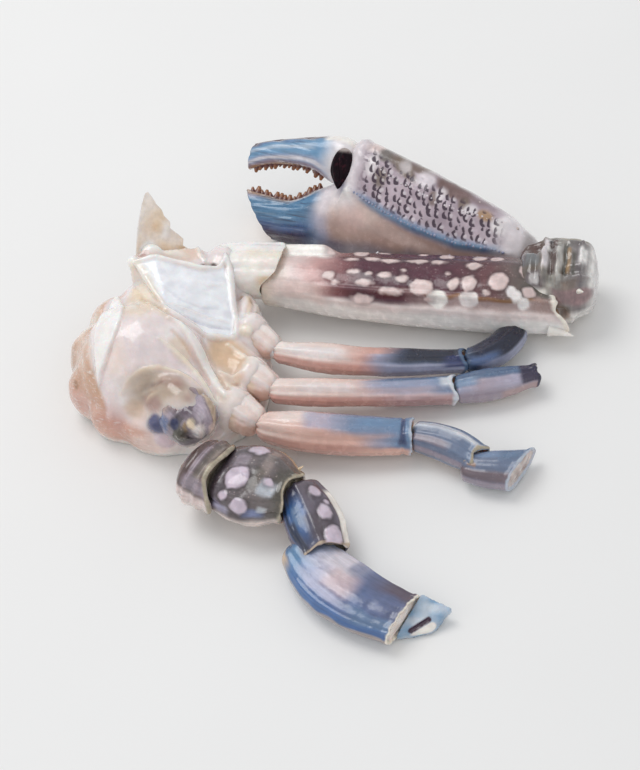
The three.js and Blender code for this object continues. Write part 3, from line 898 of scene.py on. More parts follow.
def window(values, edges, wrap=False):
    """1 inside a window that fades in between its first two edges and, if it has four, out between the others."""
    if edges is None:
        return 1.0
    if len(edges) == 2:
        return smooth(edges[0], edges[1], values)
    if wrap:
        values = about(values, (edges[1] + edges[2]) / 2)
    return smooth(edges[0], edges[1], values) * smooth(edges[3], edges[2], values)


def cut_tints(grid, tints, wall, flesh):
    """The tints of a chopped piece, with the wall and the flesh of the cut."""
    mottled = lay(flesh, tone("white"), 0.3 + 0.5 * speckle(grid.points, 1.1, 3))
    return lay(lay(tints, wall, smooth(0.05, 0.12, grid.inner)), mottled, smooth(0.6, 0.95, grid.inner))


def painted(grid, look):
    """A limb piece's tints: a gradient along it, then strokes, each in a window along and a window round it."""
    seed, wander = look["seed"], look["wander"]
    share = grid.share + 0.018 * wander * speckle(grid.points, 3.2, seed)
    lean = grid.lean + 5 * wander * speckle(grid.points, 3.6, seed + 1)
    tints = ramp(share, *[(place, hue(text)) for place, text in look["base"]])
    for text, strength, along, across in look["paint"]:
        mask = strength * window(share, along) * window(lean, across, True)
        tints = lay(tints, hue(text), mask)
    for text, strength, at, reach, *edge in look["blobs"]:
        place = grid.points + 0.5 * rough(grid.points, 1.8, 2, seed + 2)[:, None]
        tints = lay(tints, hue(text), strength * smooth(0, edge[0] if edge else 0.5, near(place, at, reach)))
    rim_text, rim_wide = look["rim"]
    uneven = 1 + 0.5 * speckle(grid.points, 1.4, seed + 5)
    tints = lay(tints, hue(rim_text), smooth(rim_wide, rim_wide * 0.3, grid.edge * uneven) * (grid.inner < 0.05))
    if "flesh" in look:
        return cut_tints(grid, tints, hue(look["wall"]), hue(look["flesh"]))
    return lay(tints, hue(look["skin"]), smooth(0.05, 0.6, grid.inner))


# What a look has unless its own entry says otherwise.
PLAIN_LOOK = dict(
    seed=1, step=0.85, head=2.0, rough=(0.1, 2.5), lip=0.3, jag=0.0, wander=1.0, rim=("white", 0.8),
    skin="cream 30 ochre", spot_tone="spot", blobs=(), ridges=(), knobs=(), rings=(), spots=(), spines=(),
)


def make_shell(name):
    """One limb piece from the tables of pieces and looks."""
    look = {**PLAIN_LOOK, **LOOKS[name]}
    form = form_of(name)
    ends = {"tail": look["tail"]} if "tail" in look else {}
    if "mouth" in look:
        ends = {"rim": mouth_rim(form, *look["mouth"])}
    if name in CHOPS:
        rim, facing, _ = chopped(name, form)

        def jagged(angle):
            across = np.cos(angle)
            return rim(angle) + look["jag"] * (np.sin(across * 13) + 0.6 * np.sin(across * 31 + 1))

        ends = {"rim": jagged, "rows": CHOP, "facing": facing}
    if "sunk" in look:
        ends["lead"] = lambda angle: np.full(len(angle), -look["sunk"])
    grid = Loft(form, look["sides"], size("step") * look["step"], look["head"], **ends)
    height, grain = look["rough"]
    relief = height * rough(grid.points, grain, 3, look["seed"]) + 0.25 * speckle(grid.points, 9, 7)
    calm = 1.0 if "rim" in ends else smooth(0.3, 3.0, form.length - grid.along)
    for height, lean, breadth, *along in look["ridges"]:
        place = hump(about(grid.lean - lean), 0, breadth) * window(grid.share, along or None)
        relief = relief + height * calm * place
    for height, at, reach in look["knobs"]:
        relief = relief + height * smooth(0, 0.8, near(grid.points, at, reach))
    for height, share, breadth, *lean in look["rings"]:
        relief = relief + height * hump(grid.share, share, breadth) * window(grid.lean, lean or None, True)
    relief = relief + look["lip"] * smooth(1.5, 0.4, grid.edge)
    spots = [(share * form.length, angle, long, wide) for share, angle, long, wide in look["spots"]]
    if "scatter" in look:
        spots = scattered(seeded(look["seed"]), spots, *look["scatter"])
    away = spot_distance(form, grid.points, spots)
    grid.raise_by(relief + 0.15 * smooth(0.4, -0.6, away))
    parts = [(grid.points, grid.quads, grid.tris, painted(grid, look)), *spines_of(form, look["spines"])]
    points, quads, tris, tints = merged(parts)
    extra = len(points) - len(grid.points)
    wide, tall = between(form.width, grid.share) / 2, between(form.height, grid.share) / 2
    girth = np.linalg.norm(grid.points - form.centre(grid.along), axis=-1) / (0.8 * np.minimum(wide, tall))
    girth = np.clip(girth, 0, 1) * (wide + tall) / 2
    place = np.stack([grid.along, np.cos(grid.angle) * girth, np.sin(grid.angle) * girth], -1)
    fields = {
        "tint": tints,
        "spot": np.concatenate([np.where(grid.inner > 0.05, FAR, away), np.full(extra, FAR)]),
        "place": np.concatenate([place, np.zeros((extra, 3))]),
    }
    finish = ready_finish(look["finish"], look["spot_tone"])
    dress(mesh_object(name + "_shell", points, quads, tris, finish, fields), look["slot"], name)


# ---- the looks of the limb pieces ----
#
# base: a gradient along the piece. paint: strokes of a hue and its strength in a window along the piece and a
# window of degrees round it, 0 at the top and 90 on the side to the right of the way it runs. rim, skin, wall and
# flesh: the hues of an open or chopped end. ridges: height, place round it, breadth and window along. rings: height,
# place along it, breadth and window round. knobs and blobs: places and reaches in planned millimetres. spots: place
# along it, angle on its surface, long and wide radius. scatter: how many spots more, where, how large and how long.
# mouth: how far back the open end is, and its lobes. rough: height and grain of the relief. step: how fine the mesh
# is. sunk: how far the piece runs back into the one before. wander: how far strokes stray. jag: a chop's roughness.

LOOKS = {
    "arm_ischium": dict(
        slot="white_shell", finish="root_shell", sides=96, head=2.5,
        mouth=(0.0, (88, -4.6, 62), (-95, -2.0, 60), (-30, 1.6, 60)),
        ridges=[(0.5, -50, 14), (-0.35, -14, 14), (-0.3, 30, 12)], rough=(0.25, 3.4), lip=0.0,
        base=[(0, "white 15 cream"), (0.6, "white 20 cream"), (1, "white 35 cream")],
        paint=[
            # white 40 lilac on the upper back side is painted lavender shade on the white shell.
            ("white", 0.9, None, (-60, -40, -10, 10)), ("white 40 lilac", 0.5, (0.5, 0.7), (-44, -34, -22, -10)),
            ("cream 15 ochre", 0.4, (0.35, 0.6), (-20, -10, 0, 10)),
            ("white 45 spot", 0.6, (0.5, 0.4), (16, 24, 40, 60)),
            ("ochre 35 cream", 0.8, (0.62, 0.84), (44, 56, 75, 95)),
            ("white 30 rose", 0.5, (0.7, 0.85), (4, 16, 34, 46)), ("white 20 cream", 0.8, None, (100, 125)),
        ],
        rim=("cream 50 white", 0.4), skin="ochre 45 brown",
    ),
    "arm_merus": dict(
        slot="purple_shell", finish="arm_shell", spot_tone="fleck", sides=128, step=1.0, seed=21, sunk=2.0,
        mouth=(1.8, (100, 3.2, 50), (-100, 2.2, 45), (0, -1.0, 50)), rough=(0.12, 3.2),
        ridges=[
            (0.6, 42, 8, 0.12, 0.3), (-0.45, 60, 13, 0.1, 0.3), (0.5, -58, 10), (-0.3, -35, 14),
            (2.2, -50, 20, 0.24, 0.17),
        ],
        base=[
            (0, "cream 50 white"), (0.09, "white 45 rose"), (0.17, "rose 15 white"), (0.26, "rose 75 maroon"),
            (0.33, "maroon 20 plum"), (0.6, "maroon 20 plum"), (0.76, "maroon 30 brown"), (0.88, "olive 45 grey"),
            (1, "olive 45 grey"),
        ],
        paint=[
            ("ochre 25 cream", 0.9, (0.05, 0.01), (12, 30, 84, 104)),
            ("maroon 40 dark", 0.55, (0.2, 0.27, 0.84, 0.92), (-45, -32, -22, -12)),
            ("rose 40 brown", 0.45, (0.3, 0.45, 0.6, 0.7), (30, 36, 44, 52)),
            ("fleck 40 brown", 0.85, (0.47, 0.58), (42, 50, 66, 74)), ("white 45 rose", 0.9, (0.24, 0.14), (22, 42)),
            ("white 30 rose", 1.0, None, (60, 72)),
            ("pink 30 white", 0.35, (0.03, 0.1, 0.18, 0.25), (30, 45, 75, 90)), ("white", 0.95, None, (76, 92)),
            ("white", 1.0, None, (-95, -118)), ("white 12 cream", 1.0, (0.24, 0.16), (-14, -30)),
            ("cream 30 white", 0.7, (0.08, 0.0), None),
            ("ochre 55 brown", 0.7, (0.5, 0.62, 0.93, 0.97), (37, 41, 44, 48)),
            ("maroon 30 dark", 0.7, (0.28, 0.36, 0.46, 0.54), (58, 62, 66, 72)),
            ("brown 30 fleck", 0.8, (0.9, 0.93), (30, 38, 58, 70)),
            ("olive 45 dark", 0.7, (0.84, 0.92), (-45, -20, 20, 36)),
        ],
        rim=("cream 55 white", 1.1), skin="ochre 45 brown",
        blobs=[
            ("white 15 cream", 0.97, (26.8, 24.3, 14.3), (3.0, 2.9, 2.7), 0.16),
            ("white 35 fleck", 0.95, (34.6, 24.3, 14.3), (2.8, 2.9, 2.5), 0.2),
            ("white 20 lilac", 0.95, (45.0, 27.0, 15.6), (1.5, 1.8, 1.9), 0.4),
            ("white 15 lilac", 0.95, (46.6, 25.9, 14.6), (1.5, 1.8, 1.9), 0.4),
            ("white 10 spot", 0.95, (48.3, 24.8, 13.2), (1.7, 1.8, 2.0), 0.4),
        ],
        spots=[
            (0.79, 101, 2.3, 2.8), (0.875, 84, 1.9, 2.3), (0.225, 107, 1.6, 1.3), (0.285, 73, 1.6, 0.7),
            (0.31, 96, 1.4, 0.6), (0.355, 98, 0.9, 0.6), (0.35, 116, 2.2, 1.0), (0.355, 71, 1.9, 0.8),
            (0.41, 99, 1.7, 0.9), (0.42, 74, 2.6, 0.9), (0.47, 104, 1.7, 1.2), (0.44, 131, 2.7, 1.1),
            (0.345, 151, 3.0, 1.3), (0.54, 118, 3.0, 2.2), (0.51, 72, 2.8, 0.9), (0.58, 74, 2.2, 0.9),
            (0.645, 109, 1.3, 1.8), (0.695, 106, 1.8, 2.5), (0.70, 78, 2.1, 1.4), (0.57, 141, 0.9, 0.6),
            (0.47, 90, 0.7, 0.5), (0.25, 120, 1.1, 0.7), (0.62, 92, 0.9, 0.7), (0.755, 122, 0.9, 0.7),
            (0.89, 116, 1.6, 1.5),
        ],
        scatter=(30, (14, 70), (-30, 58), (0.7, 1.9), 1.8),
        spines=[
            (0.183, 34, 1.5, 0.3, "white", 0.85), (0.355, 32, 1.2, 0.3, "white 40 lilac", 0.8),
            (0.6, 30, 1.1, 0.4, "lilac 30 steel", 0.7), (0.975, 194, 5.2, 3.4, "white 20 cream", 0.3),
        ],
    ),
    "arm_carpus": dict(
        slot="olive_shell", finish="wrist_shell", sides=112, step=0.75, head=3.0, tail=2.8, seed=9, wander=1.3,
        ridges=[(0.7, -28, 9, 0.3, 0.45), (0.6, 34, 8, 0.2, 0.4), (-0.7, 22, 9, 0.5, 0.6), (0.5, -42, 10)],
        rough=(0.36, 3.4),
        rings=[
            (0.9, 0.34, 0.05, -50, -36, 44, 58), (-0.8, 0.43, 0.04, -40, -20, 40, 54),
            (0.8, 0.52, 0.05, -20, -8, 44, 56), (-0.7, 0.61, 0.04, -30, -14, 36, 50),
            (0.8, 0.8, 0.05, -40, -24, 30, 48), (-0.5, 0.24, 0.05, -30, -16, 30, 44),
        ],
        knobs=[
            (-2.0, (49.8, 41.0, 17.4), (3.8, 3.4, 3)), (-2.2, (62.8, 30.0, 4.6), (4.4, 4.0, 4.6)),
            (-1.8, (56.9, 27.0, 8.0), (2.6, 3, 2.6)), (0.9, (60.6, 33.0, 17.0), (1.6, 3.0, 3)),
            (0.8, (55.0, 36.5, 18.4), (1.6, 2.0, 2)), (-0.8, (58.4, 36.0, 17.5), (1.2, 2.8, 3)),
        ],
        base=[
            (0, "olive 40 grey"), (0.25, "olive 40 brown"), (0.45, "olive 30 white"), (0.8, "grey 25 olive"),
            (1, "white 30 olive"),
        ],
        paint=[
            ("brown 55 dark", 0.95, (0.02, 0.06, 0.26, 0.32), (-62, -54, -24, -12)),
            ("olive 25 cream", 0.9, (0.45, 0.55, 0.82, 0.9), (-64, -54, -38, -28)),
            ("olive 30 steel", 0.7, (0.06, 0.12, 0.26, 0.32), (-22, -14, 8, 16)),
            # The white strokes on the raised rings are painted highlights on the glassy shell, and the dark strokes
            # between the rings are painted shade in the grooves.
            ("white 40 spot", 0.85, (0.31, 0.34, 0.38, 0.42), (-36, -28, 10, 20)),
            ("dark 40 brown", 0.95, (0.38, 0.42, 0.48, 0.52), (-38, -30, 22, 30)),
            ("white 45 olive", 0.8, (0.5, 0.52, 0.55, 0.58), (-12, -4, 34, 42)),
            ("dark 40 olive", 0.85, (0.58, 0.6, 0.63, 0.67), (-26, -18, 20, 30)),
            ("ochre 50 olive", 0.75, (0.63, 0.65, 0.67, 0.7), (-14, -6, 16, 24)),
            ("dark 40 olive", 0.8, (0.69, 0.71, 0.73, 0.77), (-10, -2, 24, 32)),
            ("white", 0.9, (0.77, 0.8, 0.85, 0.9), (-26, -14, 8, 16)),
            ("brown 45 olive", 0.75, (0.5, 0.6, 0.72, 0.8), (32, 40, 54, 62)),
            ("grey 35 rose", 0.8, (0.4, 0.5), (50, 58, 76, 86)),
            ("white 20 olive", 0.85, (0.88, 0.94), (-40, -26, 50, 64)),
            ("white 30 cream", 0.9, (0.42, 0.36), (54, 64, 80, 92)), ("white", 0.9, None, (88, 104)),
            ("white", 1.0, None, (-92, -112)), ("grey 45 white", 0.9, (0.93, 0.985), None),
        ],
        blobs=[
            # The white blots are partly pale patches and partly painted glints; the brown and dark blots beside them
            # and in the dents are partly painted shade.
            ("grey 35 white", 0.9, (56.9, 27.0, 8.0), (2.4, 3, 2.5)),
            ("brown 30 dark", 0.85, (49.8, 40.6, 17.4), (3.6, 3.2, 3.0)),
            ("white", 0.9, (53.6, 39.6, 18.6), (1.0, 1.6, 1.4)), ("dark", 0.8, (53.4, 42.0, 17.6), (0.8, 0.8, 1.2)),
            ("grey 30 dark", 0.7, (50.6, 30.2, 16.4), (3.6, 3.4, 3.4), 0.4),
            ("white 45 grey", 0.9, (50.4, 30.4, 16.6), (1.8, 1.9, 1.9), 0.3),
        ],
        spines=[(0.8, 150, 2.2, 0.6, "white 30 cream")],
    ),
    "leg1_merus": dict(
        slot="pink_blue_shell", finish="leg_shell", sides=72, head=2.6, seed=31, sunk=1.6,
        mouth=(0.3, (70, 0.8, 50), (-80, 0.8, 50), (0, -0.6, 50)),
        ridges=[(0.25, 18, 14), (-0.25, 44, 16), (0.2, 85, 12)],
        base=[(0, "white 30 pink"), (0.3, "white 55 pink"), (0.5, "pink 40 rose"), (1, "pink 60 steel")],
        paint=[
            # white 25 spot along the upper front side is a painted highlight band.
            ("white 25 spot", 0.75, (0.03, 0.1, 0.3, 0.42), (-8, 4, 34, 50)),
            # pink 50 rose on the lower side is partly the leg's own pink and partly painted warm reflection and shade.
            ("pink 50 rose", 0.85, (0.62, 0.5), (46, 64, 125, 160)),
            ("spot 55 steel", 0.95, (0.44, 0.6), (30, 50, 130, 160)),
            ("steel 30 spot", 0.8, (0.46, 0.56, 0.64, 0.72), (0, 10, 40, 56)),
            ("navy 20 steel", 0.97, (0.54, 0.7), (-150, -120, 40, 58)),
            ("navy 60 dark", 0.9, (0.62, 0.74), (-60, -30, 26, 44)),
            ("indigo 40 navy", 0.85, (0.87, 0.94), (5, 22, 66, 78)),
            ("white 40 pink", 0.8, (0.7, 0.5), (150, 175, 190, 215)),
        ],
        rim=("steel 45 navy", 0.9),
    ),
    "leg2_merus": dict(
        slot="pink_blue_shell", finish="leg_shell", sides=72, head=2.6, seed=41, sunk=1.6,
        mouth=(0.3, (70, 0.8, 50), (-80, 0.8, 50), (0, -0.6, 50)),
        ridges=[(0.25, 14, 14), (-0.22, 40, 16), (0.2, 80, 12)],
        base=[(0, "white 40 pink"), (0.4, "pink 30 white"), (0.65, "pink 50 spot"), (1, "spot 45 pink")],
        paint=[
            ("white 30 spot", 0.6, (0.1, 0.2, 0.4, 0.5), (-10, 5, 30, 48)),
            # pink 50 rose on the lower side is partly the leg's own pink and partly painted warm reflection and shade.
            ("pink 50 rose", 0.9, (0.7, 0.55), (50, 70, 130, 160)),
            ("rose 40 grey", 0.6, (0.5, 0.7), (56, 78, 130, 160)),
            ("spot 50 steel", 0.6, (0.45, 0.65), (0, 14, 40, 56)),
            ("steel 30 spot", 0.9, (0.44, 0.6), (-32, -15, 10, 28)),
            ("steel 45 navy", 0.92, (0.46, 0.66), (-110, -80, -20, -6)),
            ("steel 10 navy", 0.7, (0.82, 0.95), (-60, -40, 45, 70)),
            ("white 20 steel", 0.7, (0.9, 0.94, 0.96, 0.98), (-40, -20, 10, 30)),
        ],
        rim=("white 30 sky", 0.9),
    ),
    "leg3_merus": dict(
        slot="pink_blue_shell", finish="leg_shell", sides=88, head=3.4, seed=51, sunk=1.2, wander=1.2, lip=0.1,
        mouth=(0.2, (60, 0.5, 50), (-60, 0.5, 50)), ridges=[(0.3, 26, 16), (-0.3, 54, 16), (0.25, 90, 10)],
        rings=[(-0.35, 0.945, 0.02)], base=[(0, "pink 35 white"), (0.4, "pink 15 rose"), (1, "pink 15 rose")],
        paint=[
            ("white 35 pink", 0.7, (0.06, 0.16, 0.3, 0.42), (-60, -40, 0, 18)),
            ("spot 35 steel", 0.85, (0.24, 0.34, 0.5, 0.66), (-50, -30, 16, 30)),
            # pink 45 rose on the lower side is partly the leg's own pink and partly painted warm reflection and shade.
            ("pink 45 rose", 0.8, (0.75, 0.6), (60, 80, 125, 150)),
            ("steel 20 grey", 0.95, (0.4, 0.62), (-90, -60, 20, 46)),
            ("steel 15 spot", 0.8, (0.62, 0.86), (30, 46, 70, 86)),
            ("steel 20 sky", 0.6, (0.6, 0.7, 0.9, 0.96), (-40, -20, 0, 16)),
            ("steel 15 navy", 0.9, (0.82, 0.95), (-80, -60, 70, 88)),
            ("navy 40 indigo", 0.85, (0.925, 0.94, 0.955, 0.97), (-60, -20, 60, 78)),
            ("white 55 pink", 0.8, None, (110, 140, 220, 250)),
        ],
        rim=("steel 45 white", 0.5),
    ),
    "leg1_carpus": dict(
        slot="navy_shell", finish="leg_shell", sides=80, head=1.6, tail=2.6, seed=3,
        ridges=[(0.3, 10, 14), (-0.25, 38, 12)],
        base=[(0, "steel 60 navy"), (0.18, "navy 20 dark"), (0.6, "navy 50 dark"), (1, "navy 65 dark")],
        paint=[
            ("steel 55 indigo", 0.85, (0.04, 0.12, 0.3, 0.5), (20, 38, 62, 75)),
            ("spot 55 steel", 0.9, (0.1, 0.3), (56, 70, 110, 135)),
            ("white 30 steel", 0.8, None, (120, 150, 220, 250)),
        ],
    ),
    "leg2_carpus": dict(
        slot="navy_shell", finish="leg_shell", sides=80, head=1.4, seed=12,
        mouth=(0.4, (60, 0.6, 50), (-60, 0.6, 50), (180, -1.2, 70)), ridges=[(0.3, -2, 14), (-0.15, 30, 16)],
        base=[(0, "spot 55 steel"), (0.3, "spot 45 grey"), (0.8, "spot 35 steel")],
        paint=[
            ("steel 45 navy", 0.95, None, (-120, -90, 4, 16)),
            # steel 10 white near the start of the top is a painted blue-white highlight.
            ("steel 10 white", 0.85, (-0.1, 0, 0.2, 0.36), (0, 8, 26, 38)),
            ("spot 45 grey", 0.85, None, (52, 72, 115, 135)), ("pink 40 brown", 0.5, (0.5, 0.6), (70, 84, 115, 135)),
            ("navy 45 plum", 0.95, (0.77, 0.84), (-60, -40, 60, 76)),
            ("white 30 pink", 0.9, None, (118, 145, 215, 245)),
        ],
        rim=("navy 30 plum", 0.8), skin="plum 30 meat",
    ),
    "leg3_carpus": dict(
        slot="steel_blue_shell", finish="leg_shell", sides=88, head=1.6, seed=15,
        mouth=(0.4, (45, 1.0, 40), (-50, 0.8, 40), (0, -0.4, 40)),
        ridges=[(0.35, -14, 12), (-0.3, 8, 10), (0.3, 40, 12)], wander=0.9,
        base=[(0, "grey 45 steel"), (1, "steel 40 grey")],
        paint=[
            # white 40 steel and white 15 sky along the top are a painted highlight band and a painted glint.
            ("white 40 steel", 0.85, (1.1, 0.9), (-38, -30, -16, -2)),
            ("white 15 sky", 0.8, (0.5, 0.6, 0.9, 0.97), (-30, -24, -18, -10)),
            ("steel 40 navy", 0.8, None, (-110, -90, -44, -36)), ("grey 25 spot", 0.8, (0.7, 0.5), (14, 24, 38, 48)),
            ("steel 55 grey", 0.8, (0.1, 0.3), (42, 52, 62, 74)), ("brown 55 spot", 0.6, None, (60, 70, 86, 100)),
            ("white 45 pink", 0.85, None, (104, 125, 235, 255)),
        ],
        rim=("olive 40 cream", 0.45), skin="cream 30 ochre",
    ),
    "leg3_propodus": dict(
        slot="steel_blue_shell", finish="leg_shell", sides=88, head=1.6, seed=19, jag=0.06, wander=0.9,
        ridges=[(0.25, 0, 12), (-0.2, 30, 14)], base=[(0, "grey 45 steel"), (1, "grey 55 steel")],
        paint=[
            ("steel 10 spot", 0.8, (0.1, 0.3), (-80, -50, -20, -4)),
            ("steel 40 dark", 0.6, (0.45, 0.6), (-60, -45, -10, 10)), ("brown 50 grey", 0.75, None, (24, 40, 60, 84)),
            ("spot 40 brown", 0.6, None, (64, 80, 100, 115)), ("cream 50 ochre", 0.7, (0.1, 0.07), (-50, -40, 0, 14)),
            ("ochre 50 brown", 0.7, (0.1, 0.12, 0.2, 0.24), (6, 12, 18, 26)),
            ("white 40 steel", 0.8, None, (105, 130, 230, 250)),
        ],
        rim=("steel 40 white", 0.4), wall="steel 45 white", flesh="meat 60 grey",
    ),
    "swim_coxa": dict(
        slot="spotted_grey_shell", finish="spotted_shell", sides=96, step=0.6, head=2.5, tail=3.4, seed=23,
        rough=(0.7, 2.4), ridges=[(0.4, -20, 10, 0.3, 0.5), (-0.4, 0, 10, 0.4, 0.6)],
        knobs=[
            (1.2, (-28.0, -13.6, 19.0), (3.4, 2.6, 3)), (0.9, (-24.4, -19.6, 17.6), (3.2, 2.8, 3.2)),
            (1.1, (-31.3, -18.2, 16.2), (2.6, 2.8, 3)), (-1.6, (-27.0, -22.2, 13.6), (1.7, 1.7, 2.2)),
            (0.6, (-24.0, -22.4, 14.2), (1.8, 1.4, 2.4)), (-0.7, (-29.2, -17.8, 17.6), (0.9, 2.6, 2)),
        ],
        base=[(0, "tan 45 grey"), (0.3, "grey 45 spot"), (0.6, "grey 20 spot"), (1, "grey")],
        paint=[
            ("spot 25 grey", 0.9, (0.35, 0.5), (-34, -24, 6, 16)),
            ("brown 45 fleck", 0.8, (0.45, 0.3), (-30, -15, 24, 36)),
            ("paddle 40 grey", 0.9, (0.04, 0.12, 0.36, 0.46), (46, 58, 100, 125)),
            ("grey 60 dark", 0.85, (0.38, 0.46, 0.58, 0.64), (22, 32, 60, 74)),
            ("olive 50 dark", 0.9, (0.55, 0.6, 0.8, 0.9), (40, 52, 84, 98)),
            ("cream 35 ochre", 0.7, (0.3, 0.45), (-75, -55, -40, -30)), ("white 30 pink", 0.9, None, (98, 118)),
            ("white 30 pink", 0.9, None, (-80, -100)),
        ],
        blobs=[
            ("grey 45 plum", 0.9, (-27.2, -18.6, 18.8), (3.6, 2.8, 3.0)),
            ("spot 35 grey", 0.75, (-25.0, -18.4, 18.6), (0.7, 2.2, 2.0)),
            ("spot 45 rose", 0.6, (-28.4, -18.0, 19.2), (0.6, 1.8, 1.6)),
            # The spot 20 white, white 25 pink and cream 15 ochre blots near its end are partly pale spots and partly
            # painted highlights.
            ("spot 20 white", 0.8, (-23.4, -19.9, 17.2), (1.7, 1.8, 1.7)),
            ("white 25 pink", 0.95, (-23.6, -22.0, 14.4), (2.4, 1.9, 2.9)),
            ("pink 40 white", 0.8, (-21.6, -19.4, 12.2), (1.8, 2, 2.6)),
            ("steel 40 grey", 0.85, (-24.2, -22.5, 14.0), (0.8, 0.8, 0.7)),
            ("plum 40 grey", 0.7, (-22.7, -20.8, 15.8), (0.5, 0.7, 1.0)),
            ("indigo 50 dark", 0.95, (-29.8, -21.8, 16.2), (1.7, 1.9, 1.9)),
            ("olive 60 dark", 0.95, (-29.2, -23.6, 13.6), (1.8, 2.0, 2.4)),
            ("olive 30 ochre", 0.85, (-27.2, -22.4, 15.8), (0.8, 1.2, 1.9)),
            ("cream 15 ochre", 0.97, (-25.5, -22.1, 17.0), (1.5, 1.5, 1.7)),
            ("dark", 0.97, (-26.5, -23.7, 12.6), (1.2, 1.2, 1.2)),
        ],
    ),
    "swim_ischium": dict(
        slot="spotted_grey_shell", finish="spotted_shell", sides=112, head=3.6, seed=29, wander=0.9,
        mouth=(1.6, (85, 3.6, 65), (-80, -1.6, 60), (10, -0.8, 40)), rough=(0.3, 3), lip=0.35,
        rings=[(0.4, 0.5, 0.07), (-0.4, 0.38, 0.07), (-0.45, 0.66, 0.06), (0.4, 0.8, 0.06)],
        base=[
            (0, "grey 30 spot"), (0.25, "brown 60 dark"), (0.45, "grey 40 brown"), (0.62, "olive 40 grey"),
            (1, "brown 50 grey"),
        ],
        paint=[
            ("dark 30 brown", 0.7, (0.18, 0.24, 0.3, 0.36), (-60, -40, 10, 24)),
            ("spot 45 grey", 0.8, (0.36, 0.42, 0.5, 0.56), (-30, -10, 30, 44)),
            ("olive 40 fleck", 0.7, (0.6, 0.64, 0.7, 0.76), (-50, -35, 30, 44)),
            ("grey 60 spot", 0.7, (0.3, 0.4), (30, 40, 56, 66)),
            ("white 30 cream", 0.9, (0.84, 0.88, 0.93, 0.97), (-75, -60, 22, 44)),
            ("brown 50 dark", 0.6, (0.72, 0.76, 0.8, 0.84), (-60, -40, 30, 50)),
            ("rose 60 white", 0.95, None, (60, 74, 90, 100)), ("white 40 pink", 0.95, None, (84, 98)),
            ("white 30 pink", 0.95, None, (-74, -95)),
        ],
        rim=("cream 60 olive", 0.8), skin="dark 40 cream",
    ),
    "swim_merus": dict(
        slot="spotted_grey_shell", finish="spotted_shell", sides=120, head=3.4, seed=33, rough=(0.25, 3.2), sunk=2.2,
        mouth=(0.8, (60, 0.6, 50), (-50, 0.8, 45), (0, -1.0, 45)),
        ridges=[(-0.5, 72, 9), (0.5, 88, 10), (0.35, -30, 12, 0.3, 0.5)],
        base=[
            (0, "dark 25 grey"), (0.1, "grey 30 dark"), (0.35, "grey 25 olive"), (0.8, "grey 40 olive"),
            (1, "olive 40 dark"),
        ],
        paint=[
            ("spot 60 grey", 0.7, (0.12, 0.18, 0.3, 0.36), (-30, -16, 4, 16)),
            ("fleck 50 olive", 0.45, (0.5, 0.56, 0.62, 0.68), (-60, -44, 10, 26)),
            ("dark 45 olive", 0.6, (0.44, 0.5, 0.6, 0.66), (-10, 0, 20, 32)),
            ("olive 50 dark", 0.6, (0.7, 0.76, 0.86, 0.92), (-30, -14, 10, 24)),
            ("olive 55 dark", 0.5, (0.78, 0.88), (-40, -25, 30, 45)),
            ("white 45 steel", 0.9, (0.6, 0.66, 0.8, 0.86), (2, 12, 24, 34)),
            ("paddle 30 spot", 0.9, (0.5, 0.6, 0.76, 0.84), (56, 64, 74, 82)),
            ("white 30 sky", 0.7, (0.7, 0.74, 0.8, 0.84), (48, 54, 62, 68)),
            ("spot 30 paddle", 0.7, (0.06, 0.12, 0.3, 0.4), (58, 66, 76, 84)),
            ("pink 60 white", 0.95, None, (80, 92)),
            ("cream 50 ochre", 0.85, (0.4, 0.6, 0.9, 0.98), (-90, -78, -66, -58)),
            ("white 50 pink", 0.95, None, (-82, -100)),
        ],
        rim=("cream 50 olive", 0.5), skin="dark 40 cream",
        spots=[
            (0.3, 103, 3.0, 3.2), (0.48, 147, 2.2, 2.0), (0.36, 52, 2.4, 2.0), (0.22, 138, 1.3, 1.2),
            (0.72, 96, 1.2, 1.0),
        ],
        spines=[(0.9, 22, 1.6, 0.8, "cream 40 ochre")],
    ),
    "swim_carpus": dict(
        slot="paddle_blue_shell", finish="paddle_shell", sides=104, head=2.6, seed=43, lip=0.2, rough=(0.15, 2.8),
        wander=0.8, sunk=0.8, mouth=(0.6, (50, 0.8, 50), (-60, 0.6, 50), (0, -0.4, 40)),
        ridges=[(0.35, 4, 9), (-0.3, -58, 8), (0.5, -74, 9), (-0.25, 46, 8)],
        base=[
            (0, "navy 40 dark"), (0.12, "navy 30 grey"), (0.35, "paddle 35 navy"), (0.7, "paddle 40 navy"),
            (1, "navy 50 grey"),
        ],
        paint=[
            ("grey 15 navy", 0.95, None, (-110, -80, -2, 14)),
            ("grey 45 dark", 0.7, (0.5, 0.6, 0.85, 0.95), (-50, -30, 10, 24)),
            ("steel 35 navy", 0.7, (0.3, 0.4, 0.6, 0.7), (12, 22, 34, 46)),
            ("navy 40 dark", 0.85, (0.5, 0.6), (34, 42, 54, 62)),
            ("dark 40 navy", 0.8, (0.15, 0.25, 0.75, 0.9), (50, 56, 62, 68)),
            ("brown 40 grey", 0.6, (0.2, 0.4), (64, 72, 88, 100)),
            ("white 30 cream", 0.92, (0.2, 0.3), (-84, -72, -60, -52)),
            ("white 45 pink", 0.9, None, (96, 112, 230, 250)),
        ],
        rim=("brown 50 cream", 0.4), skin="dark 35 cream",
        spots=[(0.26, 64, 1.9, 1.3), (0.58, 66, 2.3, 1.5), (0.9, 62, 2.6, 2.1), (0.44, 52, 0.7, 0.5)],
    ),
    "swim_propodus": dict(
        slot="paddle_blue_shell", finish="paddle_shell", sides=124, head=3.2, seed=53, jag=0.12, rough=(0.1, 3),
        wander=1.4, ridges=[(0.3, 58, 9, 0.1, 0.3), (-0.25, 30, 16), (0.25, -62, 9)],
        base=[
            (0, "steel 40 navy"), (0.2, "paddle 50 steel"), (0.45, "paddle 40 grey"), (0.7, "grey 45 paddle"),
            (1, "grey 50 navy"),
        ],
        paint=[
